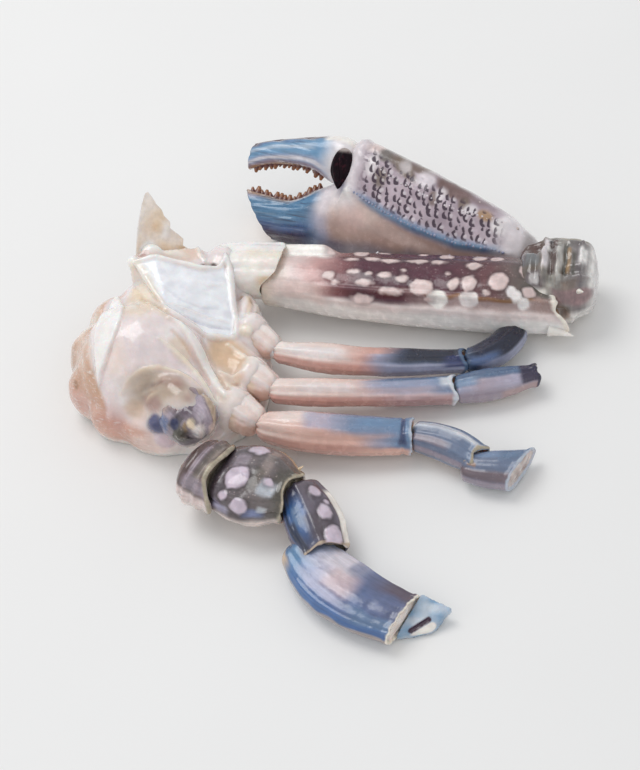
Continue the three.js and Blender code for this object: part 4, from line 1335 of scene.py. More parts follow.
            ("sky 40 steel", 0.6, (0.03, 0.08, 0.2, 0.3), (0, 14, 40, 52)),
            ("paddle 20 navy", 0.8, (0.1, 0.25), (44, 58, 75, 90)),
            ("navy 40 grey", 0.8, (0.02, 0.05, 0.12, 0.2), (-80, -60, 0, 20)),
            ("spot 40 paddle", 0.7, (0.14, 0.26, 0.44, 0.56), (-20, 0, 36, 52)),
            ("paddle 60 grey", 0.8, (0.42, 0.6), (-100, -75, -20, 8)),
            ("plum 45 grey", 0.9, (0.5, 0.7), (-80, -62, -30, -8)),
            ("spot 40 white", 0.85, (0.12, 0.26, 0.36, 0.56), (-78, -52, -18, 22)),
            ("pink 40 spot", 0.6, (0.28, 0.38, 0.46, 0.56), (-26, -10, 14, 28)),
            ("grey 40 paddle", 0.6, (0.36, 0.4, 0.44, 0.5), (-70, -50, -36, -20)),
            ("steel 20 navy", 0.7, (0.5, 0.62), (20, 34, 50, 66)),
            ("cream 50 ochre", 0.8, (0.16, 0.05), (44, 56, 80, 100)),
            ("brown 50 cream", 0.6, None, (74, 84, 96, 108)), ("white 35 paddle", 0.85, None, (104, 122, 236, 254)),
        ],
        rim=("cream 55 white", 0.3), wall="cream 20 white", flesh="meat 30 white",
    ),
}
for leg, ochre_at in (("leg1", 0.3), ("leg2", 0.4), ("leg3", 0.35)):
    LOOKS[leg + "_ischium"] = dict(
        slot="white_shell", finish="root_shell", sides=72, head=2.0, tail=2.4, seed=4, rough=(0.35, 2.6),
        ridges=[(0.2, -22, 12), (-0.2, 2, 10), (0.25, 24, 12), (-0.2, 50, 12)],
        base=[(0, "white 45 pink"), (0.45, "white 45 pink"), (0.8, "pink 50 white"), (1, "white 45 pink")],
        paint=[
            ("white 15 pink", 0.6, (0.25, 0.4), (-45, -30, -10, 0)),
            # The ochre strokes on the front and lower sides are partly ochre joint skin and partly painted orange
            # shade.
            ("cream 45 ochre", 0.6, (ochre_at - 0.12, ochre_at, ochre_at + 0.1, 0.7), (36, 46, 60, 72)),
            ("white 25 spot", 0.5, (0.4, 0.6), (14, 22, 30, 40)),
            ("pink 40 cream", 0.8, (0.3, 0.5), (50, 66, 110, 140)),
            ("pink 45 ochre", 0.6, (0.7, 0.3), (64, 80, 120, 150)),
            ("rose 50 pink", 0.4, (0.55, 0.7), (40, 60, 110, 130)),
        ],
    )


def make_arm():
    """The arm: its short root piece, the long spotted piece and the knobbly wrist."""
    for name in ("arm_ischium", "arm_merus", "arm_carpus"):
        make_shell(name)


def make_walking_legs():
    """The three walking legs, piece by piece."""
    for name in LOOKS:
        if name.startswith("leg"):
            make_shell(name)


def make_swimming_leg():
    """The swimming leg, piece by piece, and the corner left of its paddle."""
    for name in LOOKS:
        if name.startswith("swim"):
            make_shell(name)
    make_paddle_stub()


# ---- the claw ----

PALM_TOP, PALM_BOTTOM = (4, 9.3, 13.4, 16.8, 20.0, 23.0, 24.3), (-5, -6.5, -7.5, -7.5, -7.5, -7, -6)
PALM_THICK, PALM_RANGE = (9, 13, 15, 16, 15.5, 14.5, 12), (-3, 56)
LOWER_TOP, LOWER_BOTTOM = (12, 13.5, 10, 5.4, 5.8, 6.8), (-6.5, -6.5, -6.3, -6.2, -5.6, -5)
LOWER_THICK, LOWER_RANGE = (12, 12.5, 11.5, 10, 8.5, 6), (42, 84)
UPPER_TOP, UPPER_BOTTOM = (22, 24, 23, 21.6, 20, 17.6), (12, 11, 14, 14.6, 13.4, 10.5)
UPPER_THICK, UPPER_RANGE = (10, 11, 10.5, 9, 7.5, 6), (48, 84)
CLAW_CHOPS = {"lower": (80.5, 6.3, 37), "upper": (80.5, 14, -6)}  # along, up, slant in degrees
RIDGE_ALONG, RIDGE_UP = (0, 8.8, 18.9, 30.2, 38.8, 47.1, 52), (0.2, 1.2, 1.3, 3.8, 6.4, 10.0, 12)
UPPER_RIDGE = 6.5  # how far above the palm's ridge the weaker one begins, which then rises a little more
CLAW_TEETH = {"count": 15, "first": 60.0, "last": 79, "sunk": 0.3}  # sunk: the share of its height in the finger

# Strokes on the claw: a hue, its strength, a window along the claw and one across it (or, for the fingers, of their
# height from 0 at the lower edge to 1 at the upper one). Blots: a hue, its strength, their middle, reach and turn.
HAND_STROKES = [
    ("white 40 spot", 0.85, (11, 5), None), ("grey 50 olive", 0.6, (3.0, 0.5), None),
    ("white 40 spot", 0.85, (45.5, 50.0), (3, 8)), ("lilac 45 grey", 0.5, (43.5, 45, 46.5, 48), (9, 11, 14, 17)),
    ("white 55 spot", 0.9, (53.0, 56.0), (1, 4.5)), ("spot 50 steel", 0.7, (53, 56), (4.5, 1.5)),
    ("steel 35 indigo", 0.85, (51.5, 58), (-0.5, -4)), ("grey 30 indigo", 0.7, (47, 52), (-2.2, -4.4)),
    ("sky 45 spot", 0.75, (55.5, 60), (5.5, 2.5)), ("sky 50 navy", 0.97, (56.5, 61.5), None),
]
HAND_BLOTS = [
    ("olive 35 dark", 0.8, (41.6, 20.4), (2.4, 1.5), 25), ("olive 40 brown", 0.9, (36.4, 18.4), (4.0, 1.9), 28),
    ("olive 45 brown", 0.7, (33.4, 16.2), (2.4, 1.3), 35), ("brown 30 dark", 0.85, (23.4, 14.2), (3.6, 1.5), 22),
    ("olive 35 brown", 0.8, (41.6, 14.6), (1.6, 2.6), 0), ("brown 45 olive", 0.8, (31.0, 18.2), (3.0, 1.0), 12),
    ("brown 35 grey", 0.85, (21.5, 13.6), (3.8, 1.4), 18), ("olive 45 brown", 0.85, (18.6, 11.0), (1.9, 1.4), 35),
    ("ochre 45 olive", 0.8, (12.4, 9.0), (2.2, 1.4), 20), ("brown 40 olive", 0.75, (26.6, 11.6), (1.8, 1.4), 40),
    ("white 55 spot", 0.85, (29.6, 15.8), (2.2, 1.9), 15), ("white 50 spot", 0.75, (24.6, 12.6), (1.6, 1.6), 0),
    ("white 45 spot", 0.8, (16.6, 9.9), (1.8, 1.5), 15), ("white 20 spot", 0.8, (8.2, 7.0), (2.2, 2.0), 20),
    ("white 55 pink", 0.7, (45.0, 22.4), (2.6, 1.5), 0), ("white 40 lilac", 0.6, (36.0, 18.4), (2.0, 1.4), 20),
    ("white", 0.85, (50.2, 9.6), (1.3, 1.3), 0), ("white 30 spot", 0.6, (44.6, 17.6), (1.4, 3.0), 0),
    ("indigo 50 plum", 0.7, (51.9, 10.4), (0.9, 1.6), 0), ("pink 35 lilac", 0.4, (48, 3), (4, 4), 0),
]
BLOTS_ON_TOP = 4  # the last blots are laid again over the strokes
FINGER_STROKES = {
    "lower": [
        ("sky 15 steel", 0.7, (57, 62), (0.7, 0.78, 0.88, 0.95)), ("sky 30 navy", 0.8, (60, 66), (0.5, 0.6)),
        ("indigo 25 sky", 0.9, (56, 63), (0.52, 0.34)), ("plum 30 dark", 0.95, (55, 64), (0.38, 0.14)),
        ("plum 20 indigo", 0.6, (68, 76), (0.42, 0.2)), ("white 40 steel", 0.7, (56, 59), (0.9, 0.97)),
        ("spot 40 steel", 0.7, (74, 79), (0.82, 0.92)),
    ],
    "upper": [
        ("sky 10 steel", 0.95, (55, 61), None), ("sky 55 white", 0.55, (60, 64), (0.56, 0.64, 0.7, 0.78)),
        ("sky 55 spot", 0.7, (56, 60), (0.46, 0.32)), ("white 35 spot", 0.7, (55, 60), (0.16, 0.22, 0.28, 0.34)),
        ("rose 45 grey", 0.5, (56, 60), (0.2, 0.1)), ("plum 35 brown", 0.95, (57.5, 61), (0.9, 0.965)),
        ("indigo 40 steel", 0.5, (62, 70), (0.8, 0.86, 0.9, 0.95)), ("white 20 cream", 0.9, (61, 58.5), (0.85, 0.92)),
        ("brown 40 plum", 0.6, (76, 80), (0.7, 0.9)),
    ],
}


def profile(knots, reach):
    """A smooth profile through knots that are spread evenly over a reach of the claw."""
    return lambda along: between(knots, (along - reach[0]) / (reach[1] - reach[0]))


def blend_at(first, second, start, end):
    """A profile along the claw that changes from one to the other between two places."""

    def blended(along):
        t = smooth(start, end, along)
        return first(along) * (1 - t) + second(along) * t

    return blended


def hand_form():
    """The palm and its fixed finger as one blade."""
    return Blade(
        PALM_RANGE[0], LOWER_RANGE[1],
        blend_at(profile(PALM_TOP, PALM_RANGE), profile(LOWER_TOP, LOWER_RANGE), 50.4, 54.0),
        blend_at(profile(PALM_BOTTOM, PALM_RANGE), profile(LOWER_BOTTOM, LOWER_RANGE), 42, 52),
        blend_at(profile(PALM_THICK, PALM_RANGE), profile(LOWER_THICK, LOWER_RANGE), 44, 58),
    )


def finger_form():
    """The moving finger, which begins a little in from its solid's root."""
    profiles = (profile(knots, UPPER_RANGE) for knots in (UPPER_TOP, UPPER_BOTTOM, UPPER_THICK))
    return Blade(UPPER_RANGE[0] + 1.5, UPPER_RANGE[1], *profiles)


def claw_chop(form, along, up, slant):
    """A finger's chopped rim and the way that the cut faces."""
    point = on_claw(along, up, 0)
    slant = slant / DEGREES
    facing = on_claw(along + math.cos(slant), up - math.sin(slant), 0) - point
    return chop_rim(form, point, facing, 1.05), facing


BLOT_EDGE = 0.35  # how soft a blot's edge is, as a share of its reach


def blotted(tints, along, up, blots):
    """Soft-edged blots of other hues; each has a middle and a reach along and across the claw, and a turn."""
    for text, strength, (a, u), (long, wide), turn in blots:
        x, y = turned(along - a, up - u, turn)
        inside = 1 - np.sqrt((x / long) ** 2 + (y / wide) ** 2)
        tints = lay(tints, hue(text), strength * smooth(-BLOT_EDGE, BLOT_EDGE, inside))
    return tints


def above_ridge(along, up):
    """How far up from the palm's ridge a place is."""
    return up - np.interp(along, RIDGE_ALONG, RIDGE_UP)


def paint_blade(grid, along, up, out, which):
    """The tints of the palm with its finger, or of the moving finger."""
    points = grid.points
    top, bottom, _ = grid.form.edges(grid.along)
    drift = speckle(points, 4.0, 31)
    a = along + 0.9 * drift
    u = up + 0.6 * speckle(points, 3.0, 12)
    height = (up - bottom) / np.maximum(top - bottom, 1) + 0.02 * speckle(points, 2.0, 8)
    if which == "lower":
        above = above_ridge(along, up)
        tints = lay(hue("lilac 15 white"), hue("lilac 40 grey"), 0.5 + 0.6 * drift)
        edge = smooth(2.4, 0.8, top - up) * smooth(8, 14, along) * smooth(44, 36, along)
        tints = lay(tints, hue("brown 45 grey"), 0.75 * edge * (0.75 + 0.5 * speckle(points, 2.2, 3)))
        tints = blotted(tints, a, u, HAND_BLOTS)
        below = lay(hue("beige 25 grey"), hue("beige 20 white"), smooth(1.5, 5, up + drift) * smooth(34, 44, along))
        below = lay(below, hue("grey 40 steel"), 0.6 * smooth(-1.6, -5.0, up + drift))
        below = lay(below, hue("lilac 40 steel"), 0.5 * smooth(-3.2, -0.8, above))
        tints = lay(tints, below, smooth(0.3, -0.7, above))
        line = hump(above + 0.3 * speckle(points, 1.6, 5), -0.5, 2.2) * smooth(3, 9, along) * smooth(50, 43, along)
        ridge = lay(hue("sky 18 grey"), hue("sky 45 indigo"), smooth(0.1, 0.6, speckle(points, 1.5, 14)))
        tints = lay(tints, ridge, 0.9 * line)
        for text, strength, wide, tall in HAND_STROKES:
            tints = lay(tints, hue(text), strength * window(a, wide) * window(u, tall))
        tints = blotted(tints, along, up, HAND_BLOTS[-BLOTS_ON_TOP:])
    else:
        tints = hue("white 35 spot")
    for text, strength, wide, tall in FINGER_STROKES[which]:
        tints = lay(tints, hue(text), strength * window(a + 1.5 * (height - 0.5), wide) * window(height, tall))
    gum = smooth(0.86, 0.97, height) if which == "lower" else smooth(0.14, 0.03, height)
    tints = lay(tints, hue("ochre 35 brown"), 0.75 * gum * smooth(56.5, 59, along) * smooth(3.2, 1.0, np.abs(out)))
    back = lay(tone("white"), hue("lilac 40 white"), 0.5 + 0.4 * drift)
    back = lay(back, hue("sky 45 white"), smooth(58, 70, along))
    tints = lay(tints, back, smooth(1.0, -1.5, out) * 0.85)
    return cut_tints(grid, tints, hue("white 20 lilac"), tone("meat"))


def claw_finish(name):
    """The claw's shell: short plum arcs like open scales on the palm, long fine streaks on the fingers."""
    finish = Finish(name, Subsurface_Weight=0.15, Subsurface_Radius=(1.0, 0.7, 0.6), Subsurface_Scale=0.001,
                    Coat_Weight=0.6, Coat_Roughness=0.1, IOR=1.45)
    base = finish.attribute("tint", "Color")
    place = finish.attribute("place", "Vector")
    net = finish.attribute("net")
    cloud = finish.noise(2.0, 3)
    base = finish.clouded(base, cloud, 0.92, 1.06)
    wobble = finish.vector("SUBTRACT", finish.noise(2.4, 1, place, 1.0, output=1), (0.5, 0.5, 0.5))
    wobble = finish.vector("MULTIPLY", wobble, (1.1, 1.1, 0))
    scales = finish.scaled(finish.vector("ADD", place, wobble), (0.5, 0.44, 0.0))
    cells = finish.cells(1.0, scales, 1.0, 0.5)
    far = cells["Distance"]
    facing = finish.vector("NORMALIZE", finish.vector("SUBTRACT", scales, cells["Position"]))
    # The plum arcs are partly the palm's dark pattern and partly painted shade on the low side of each scale.
    side = finish.vector("DOT_PRODUCT", facing, (0.9, -0.43, 0), 1)
    band = finish.math("ABSOLUTE", finish.math("SUBTRACT", far, 0.42))
    arc = finish.times(finish.step(band, 0.2, 0.1), finish.step(side, -0.3, 0.2))
    arc = finish.times(arc, net)
    # The paler middle of each scale is a painted highlight on its raised bump.
    pale = finish.times(finish.step(far, 0.36, 0.12), net)
    base = finish.mixed(finish.times(pale, 0.5), base, hue("white 45 spot"))
    base = finish.mixed(finish.times(arc, 0.94), base, hue("plum 30 dark"))
    lines = finish.noise(1.0, 3, finish.scaled(place, (0.05, 1.7, 0.9)), 1.0)
    # The pale streaks are partly painted highlights along the fingers; the dark streaks are their own colour.
    streak = finish.attribute("streak")
    light, dark = finish.times(streak, 0.2), finish.times(streak, 0.65)
    base = finish.mixed(finish.times(finish.step(lines, 0.56, 0.74), light), base, hue("white 55 sky"))
    base = finish.mixed(finish.times(finish.step(lines, 0.46, 0.3), dark), base, hue("navy 30 plum"))
    finish.set(Base_Color=base, Roughness=finish.step(cloud, 0.25, 0.75, 0.16, 0.3))
    grainy = finish.step(finish.cells(0.5)["Distance"], 0, 0.5)
    finish.bump((arc, -0.07), (pale, 0.08), (finish.times(lines, streak), 0.1), (grainy, -0.02),
                (finish.noise(0.25, 2), 0.015))
    return finish.material


def make_claw():
    """The claw: the palm with its fixed finger, the moving finger and the dark skin at its root."""
    step = size("step")
    finish = claw_finish("claw_shell")
    form = hand_form()
    rim, facing = claw_chop(form, *CLAW_CHOPS["lower"])

    def dense(count):
        spread = 1 + 3.5 * hump(np.linspace(0, 1, count), 0.67, 0.06)
        run = np.concatenate([[0], np.cumsum(spread)])
        return run / run[-1]

    grid = Loft(form, 132, step, 4, rim=rim, rows=CHOP, facing=facing, dense=dense)
    along, up, out = form.local(grid.along, grid.angle)
    above = above_ridge(along, up)
    on_palm = smooth(2, 8, along) * smooth(52, 46, along)
    top = form.edges(grid.along)[0]
    upper_ridge = 0.35 * hump(above, UPPER_RIDGE + 0.06 * along, 1.8)
    relief = (0.75 * hump(above, -0.3, 1.5) - 0.5 * hump(above, -3.5, 3) + upper_ridge) * on_palm * (out > 0)
    relief = relief + 0.6 * hump(along, 48.6, 1.7) * smooth(9, 12, up) + 0.2 * rough(grid.points, 4, 3, 8)
    relief = relief + 0.5 * hump(top - up, 0.6, 1.6) * on_palm
    grooves = smooth(58, 66, along) * (np.abs(out) > 1.5)
    relief = relief - 0.3 * hump(np.mod(up + 0.1 * along, 3.1), 1.5, 1.0) * grooves
    relief = relief + 0.9 * smooth(0, 0.7, near(grid.points, on_claw(50.2, 10.0, 6.2), (2.0, 2.0, 2.2)))
    grid.raise_by(relief)
    below_edge = top - up + 1.2 * speckle(grid.points, 4, 9)
    net = smooth(-0.1, 1.0, above) * smooth(1.2, 3.2, below_edge) * smooth(6, 10, along)
    net = net * smooth(47.5, 45, along) * (out > 0) * (1 - grid.inner)
    streak = smooth(57, 64, along) * (1 - np.clip(grid.inner * 2, 0, 1))
    tints = paint_blade(grid, along, up, out, "lower")
    fields = {"tint": tints, "place": np.stack([along, up, out], -1), "net": net, "streak": streak}
    piece = mesh_object("claw_hand_shell", grid.points, grid.quads, grid.tris, finish, fields)
    dress(piece, "lilac_claw_shell", "claw_hand")

    form = finger_form()
    rim, facing = claw_chop(form, *CLAW_CHOPS["upper"])
    grid = Loft(form, 96, step, 3.5, rim=rim, rows=CHOP, facing=facing)
    along, up, out = form.local(grid.along, grid.angle)
    groove = hump(np.mod(up - 0.12 * along + 1.2, 2.9), 1.5, 0.9)
    grid.raise_by(0.12 * rough(grid.points, 3, 3, 3) - 0.3 * groove * smooth(58, 64, along) * (np.abs(out) > 1.2))
    streak = 0.6 * smooth(57, 64, along) * (grid.inner < 0.1)
    tints = paint_blade(grid, along, up, out, "upper")
    fields = {"tint": tints, "place": np.stack([along, up, out], -1), "net": np.zeros(len(along)), "streak": streak}
    piece = mesh_object("claw_finger_shell", grid.points, grid.quads, grid.tris, finish, fields)
    dress(piece, "claw_blue_shell", "claw_finger")
    make_hinge()


def make_hinge():
    """The dark wet skin between palm and finger: an oval pad with folds, narrower at its lower end."""
    rows, sides = 40, 72
    polar = (np.arange(1, rows) / rows * math.pi)[:, None]
    angle = (np.arange(sides) / sides * 2 * math.pi)[None, :]
    x, y = np.sin(polar) * np.cos(angle), np.sin(polar) * np.sin(angle)
    z = np.cos(polar) + 0 * angle
    local = np.concatenate([[[0, 0, 1]], np.stack([x, y, z], -1).reshape(-1, 3), [[0, 0, -1]]])
    long, tall, deep = HINGE_PAD["size"]
    far = np.hypot(local[:, 0], local[:, 1])
    fold = 0.12 * np.sin(local[:, 0] * 9 + 1.5 * np.sin(local[:, 1] * 3)) * smooth(1.0, 0.6, far)
    reach = 1 - 0.12 * smooth(0.3, 1, local[:, 2]) + fold * (local[:, 2] > 0)
    wide = long * (0.95 - 0.4 * smooth(0.1, 1.0, -local[:, 1]))
    along = HINGE_PAD["along"] - 0.5 - local[:, 0] * wide
    points = on_claw(along, HINGE_PAD["up"] - 1.6 + local[:, 1] * tall * 0.9,
                     HINGE_PAD["out"] + 0.2 + local[:, 2] * deep * reach)
    quads, tris = ring_faces(points, rows - 1, sides)
    tints = lay(tone("hinge"), hue("brown 40 white"), 0.9 * smooth(0.72, 0.95, local[:, 1]))
    finish = Finish("hinge_skin", Coat_Weight=0.1, Coat_Roughness=0.12, IOR=1.15, Roughness=0.6)
    sheen = finish.step(finish.noise(1.2, 3), 0.5, 0.75, 0, 0.7)
    finish.set(Base_Color=finish.mixed(sheen, finish.attribute("tint", "Color"), (0.06, 0.012, 0.02)))
    finish.bump((finish.noise(0.9, 3, distortion=1.5), 0.2), (finish.noise(0.25, 2), 0.03))
    dress(mesh_object("claw_hinge_skin", points, quads, tris, finish.material, {"tint": tints}), "dark_hinge_skin",
          "claw_hinge")


TINY = 1e-6  # less than this, in millimetres, counts as nothing


def hull_planes(corners):
    """The outward planes of the flat-sided hull of a few corners."""
    corners = np.asarray(corners, float)
    planes = []
    for first, second, third in itertools.combinations(corners, 3):
        normal = np.cross(second - first, third - first)
        long = np.linalg.norm(normal)
        if long < TINY:
            continue
        normal = normal / long
        depth = corners @ normal - first @ normal
        if (depth < TINY).all():
            planes.append((*normal, first @ normal))
        elif (depth > -TINY).all():
            planes.append((*-normal, -(first @ normal)))
    return np.unique(np.round(planes, 6), axis=0)


def hull_distance(points, planes):
    """How far points lie outside a flat-sided hull."""
    best = np.full(points.shape[:-1], -1e9)
    for nx, ny, nz, reach in planes:
        best = np.maximum(best, points @ np.array([nx, ny, nz]) - reach)
    return best


# ---- solids from distances, for what has no simple centre line ----


def round_join(first, second, reach):
    """The joined distance of two forms, with a fillet where they meet."""
    h = np.clip(0.5 + 0.5 * (second - first) / reach, 0, 1)
    return second * (1 - h) + first * h - reach * h * (1 - h)


def round_cut(first, second, reach):
    """The distance of a form with another taken away from it."""
    return -round_join(-first, second, reach)


def oval_distance(points, at, reach, turn=0.0):
    """How far points lie outside an ellipsoid turned about the upright by degrees."""
    x, y, z = np.moveaxis(points - np.asarray(at, float), -1, 0)
    local = np.stack([*turned(x, y, turn), z], -1)
    reach = np.asarray(reach, float)
    far = np.linalg.norm(local / reach, axis=-1)
    steep = np.linalg.norm(local / reach**2, axis=-1)
    return far * (far - 1) / np.maximum(steep, 1e-6)


def skinned(distance, low, high, step):
    """A closed skin of quads where a distance turns from inside to outside, on a grid with a step."""
    low = np.asarray(low, float)
    counts = np.ceil((np.asarray(high, float) - low) / step).astype(int) + 1
    axes = [low[k] + step * np.arange(counts[k]) for k in range(3)]
    field = np.empty(tuple(counts), np.float32)
    for i, x in enumerate(axes[0]):
        y, z = np.meshgrid(axes[1], axes[2], indexing="ij")
        field[i] = distance(np.stack([np.full_like(y, x), y, z], -1))
    inside = field < 0
    cells = tuple(counts - 1)
    corners = np.zeros(cells, np.int8)
    total = np.zeros((*cells, 3))
    number = np.zeros(cells)
    for offsets in itertools.product((0, 1), repeat=3):
        corners += inside[tuple(slice(offset, offset + cell) for offset, cell in zip(offsets, cells))]
    crossed = (corners > 0) & (corners < 8)
    for axis in range(3):
        others = [k for k in range(3) if k != axis]
        for pair in itertools.product((0, 1), repeat=2):
            first = [slice(0, cell) for cell in cells]
            for other, offset in zip(others, pair):
                first[other] = slice(offset, offset + cells[other])
            second = list(first)
            second[axis] = slice(1, counts[axis])
            a, b = field[tuple(first)], field[tuple(second)]
            hit = (a < 0) != (b < 0)
            number += hit
            total[..., axis] += np.where(hit, a / np.where(hit, a - b, 1), 0)
            for other, offset in zip(others, pair):
                total[..., other] += hit * offset
    order = np.full(crossed.shape, -1)
    order[crossed] = np.arange(crossed.sum())
    place = np.argwhere(crossed)
    points = low + (place + total[crossed] / number[crossed][:, None]) * step
    quads = []
    for axis in range(3):
        u, v = [k for k in range(3) if k != axis]
        first = [slice(1, counts[k] - 1) for k in range(3)]
        first[axis] = slice(0, counts[axis] - 1)
        second = list(first)
        second[axis] = slice(1, counts[axis])
        a, b = inside[tuple(first)], inside[tuple(second)]
        cell = np.argwhere(a != b)
        turned = a[tuple(cell.T)]
        around = []
        for du, dv in ((1, 1), (0, 1), (0, 0), (1, 0)):
            corner = cell.copy()
            corner[:, u] += du
            corner[:, v] += dv
            around.append(order[tuple(corner.T)])
        faces = np.stack(around, -1)
        if axis == 1:
            turned = ~turned
        quads.append(np.where(turned[:, None], faces, faces[:, ::-1]))
    return points, outward(points, np.concatenate(quads))


def settled(points, distance, rounds, reach):
    """Points moved, by up to a reach in each round, onto the surface where the distance is nothing."""
    h = 0.05
    for _ in range(rounds):
        value = distance(points)
        slope = np.stack([(distance(points + move) - distance(points - move)) / (2 * h) for move in h * np.eye(3)], -1)
        move = value[:, None] * slope / np.maximum((slope**2).sum(-1, keepdims=True), 0.2)
        points = points - np.clip(move, -reach, reach)
    return points


def relaxed(points, quads, rounds):
    """Points drawn halfway to the middle of their neighbours in each round."""
    edges = np.concatenate([quads[:, [k, (k + 1) % 4]] for k in range(4)])
    edges = np.concatenate([edges, edges[:, ::-1]])
    number = np.bincount(edges[:, 0], minlength=len(points))
    for _ in range(rounds):
        middle = np.stack([np.bincount(edges[:, 0], points[edges[:, 1], k], len(points)) for k in range(3)], -1)
        points = points + 0.5 * (middle / np.maximum(number, 1)[:, None] - points)
    return points


STUB_STEP = 0.3  # the distance between the mesh points of the paddle's corner
PADDLE_STUB = [
    (32, -57.5, 5.6), (32, -57.5, 3.4), (41.5, -61, 3.6), (41.5, -61, 2.6), (37.5, -65.5, 1.2), (37.5, -65.5, -0.5),
    (30, -68, 2.2), (30, -68, 0.4),
]


def make_paddle_stub():
    """The thin corner left of the paddle, cut from the same leg."""
    planes = hull_planes(PADDLE_STUB)
    _, facing, point = chopped("swim_propodus", form_of("swim_propodus"))
    cleft = [(36.9, -63.8, 3.0), (33.2, -66.6, 2.2)]
    hem = [(37.8, -65.0, 2.0), (33.8, -68.0, 1.4)]

    def distance(points):
        outer = hull_distance(points, planes) - 0.15 + 0.12 * speckle(points, 1.6, 3)
        behind = 0.35 - (points - point) @ facing
        slit, _ = path_distance(points, cleft)
        return np.maximum(round_cut(np.maximum(outer, behind), slit - 0.4, 0.3), 0.05 - points[..., 2])

    points, quads = skinned(distance, (27, -71, -1), (44, -54, 8), STUB_STEP)
    points = settled(relaxed(points, quads, 2), distance, 2, STUB_STEP / 2)
    tints = lay(hue("sky 12 white"), hue("sky 55 white"), 0.4 + 0.9 * speckle(points, 1.8, 5))
    tints = lay(tints, hue("white 20 cream"), smooth(1.3, 0.8, path_distance(points, hem)[0]))
    # The plum along the cleft is painted shade in the slit.
    tints = lay(tints, tone("plum"), smooth(0.8, 0.5, path_distance(points, cleft)[0]))
    finish = shell_finish("stub_shell", mottle=0.12, soft=0.25, dull=0.2, coat=0.6, grains=0.3)
    fields = {"tint": tints, "spot": np.full(len(points), FAR)}
    dress(mesh_object("swim_paddle_corner", points, quads, NO_TRIS, finish, fields), "pale_blue_shell",
          "swim_paddle_stub")


# ---- the split thorax ----
#
# A lump has its middle, its reach and its turn. A fold, crest or crease has its height, its half-widths from end to
# end, how soft its sides are, its hue and how strong that is, and its path. A patch has a hue, its strength, its
# middle, its reach and its turn.

LUMPS = [
    ((-43, 1, 7), (19, 17, 20.4), 0), ((-41, 18, 7), (17, 14, 15), 0), ((-28, 9, 7), (13, 19, 8), 0),
    ((-33, -9, 10), (10.5, 8.5, 10.6), -30), ((-40, -14, 5), (10, 6, 8), -20), ((-25.5, -5.5, 7), (7, 9, 7.6), 30),
]
FLESH_LUMPS = [
    ((-54, 14, 7), (9, 9, 12), 0), ((-56, 5, 7), (9.5, 9, 11.5), 0), ((-54.5, -3.5, 6), (9.5, 8, 10), 0),
    ((-48, -10, 5), (9, 7, 9), 0),
]
ROOT_LUMPS = [
    ((-30, 32, 11), (8.5, 8, 8), 0), ((-22, 20.5, 8.5), (3.2, 7, 6), 10), ((-21.5, 13.5, 9), (5.5, 5, 5.6), 0),
    ((-18.5, 1.5, 8), (5.5, 4.6, 5.4), 0), ((-21.5, -8, 7.4), (5.6, 5, 5.4), 0),
    ((-30.6, -13.8, 12.5), (9.2, 6.3, 9.0), -35),
]
PLATE = [
    (-49, 22.8, 24.6), (-44.3, 25, 24.9), (-33, 24.9, 21.2), (-28.8, 28.2, 18.7), (-26, 27.2, 17.2),
    (-21.6, 10.5, 14.0), (-23.5, 8.6, 14.4), (-29, 5.6, 17.6), (-37.5, 9.4, 22.6), (-45.6, 18.5, 22.6), (-35, 15, 8),
]
FRONT_WALL = [
    (-51, 18, 8), (-51, 24, 24), (-50, 28.5, 23), (-37, 35, 19), (-29, 36, 14), (-28, 25, 17.5), (-34, 14, 10),
    (-33, 37, 3), (-50, 28, 3),
]
UNDERSIDE = [(-62, 16), (-56, 27), (-34, 36), (-24, 29), (-14, 8), (-14, -8), (-24, -18), (-36, -18), (-58, -6)]
UNDERSIDE_DEPTH = 5
LUMP_FILLET, FLESH_FILLET, SLAB_FILLET, WALL_FILLET, SKIN_FILLET, PLATE_FILLET = 2.4, 1.2, 1.6, 1.0, 1.6, 0.35
RELIEF_DEPTH = 3.4  # how far from the plain lumps the fine relief is worked out
SUTURES = [
    [(-62, 20), (-40, 24), (-26, 33)], [(-62, 12), (-40, 13), (-16, 20)], [(-62, 4), (-40, 3), (-12, 5)],
    [(-61, -3), (-40, -6), (-14, -8)], [(-56, -9), (-42, -12), (-24, -19)],
]
SPLIT = ((-14, -7, -1, 5.6, 11, 17, 24), (-49.5, -53.6, -55.6, -57.0, -56.6, -55.4, -53))  # y, and x of the split there
LIMB_ROOTS = {"arm_ischium": 0.3, "leg1_ischium": 0.42, "leg2_ischium": 0.42, "leg3_ischium": 0.42}
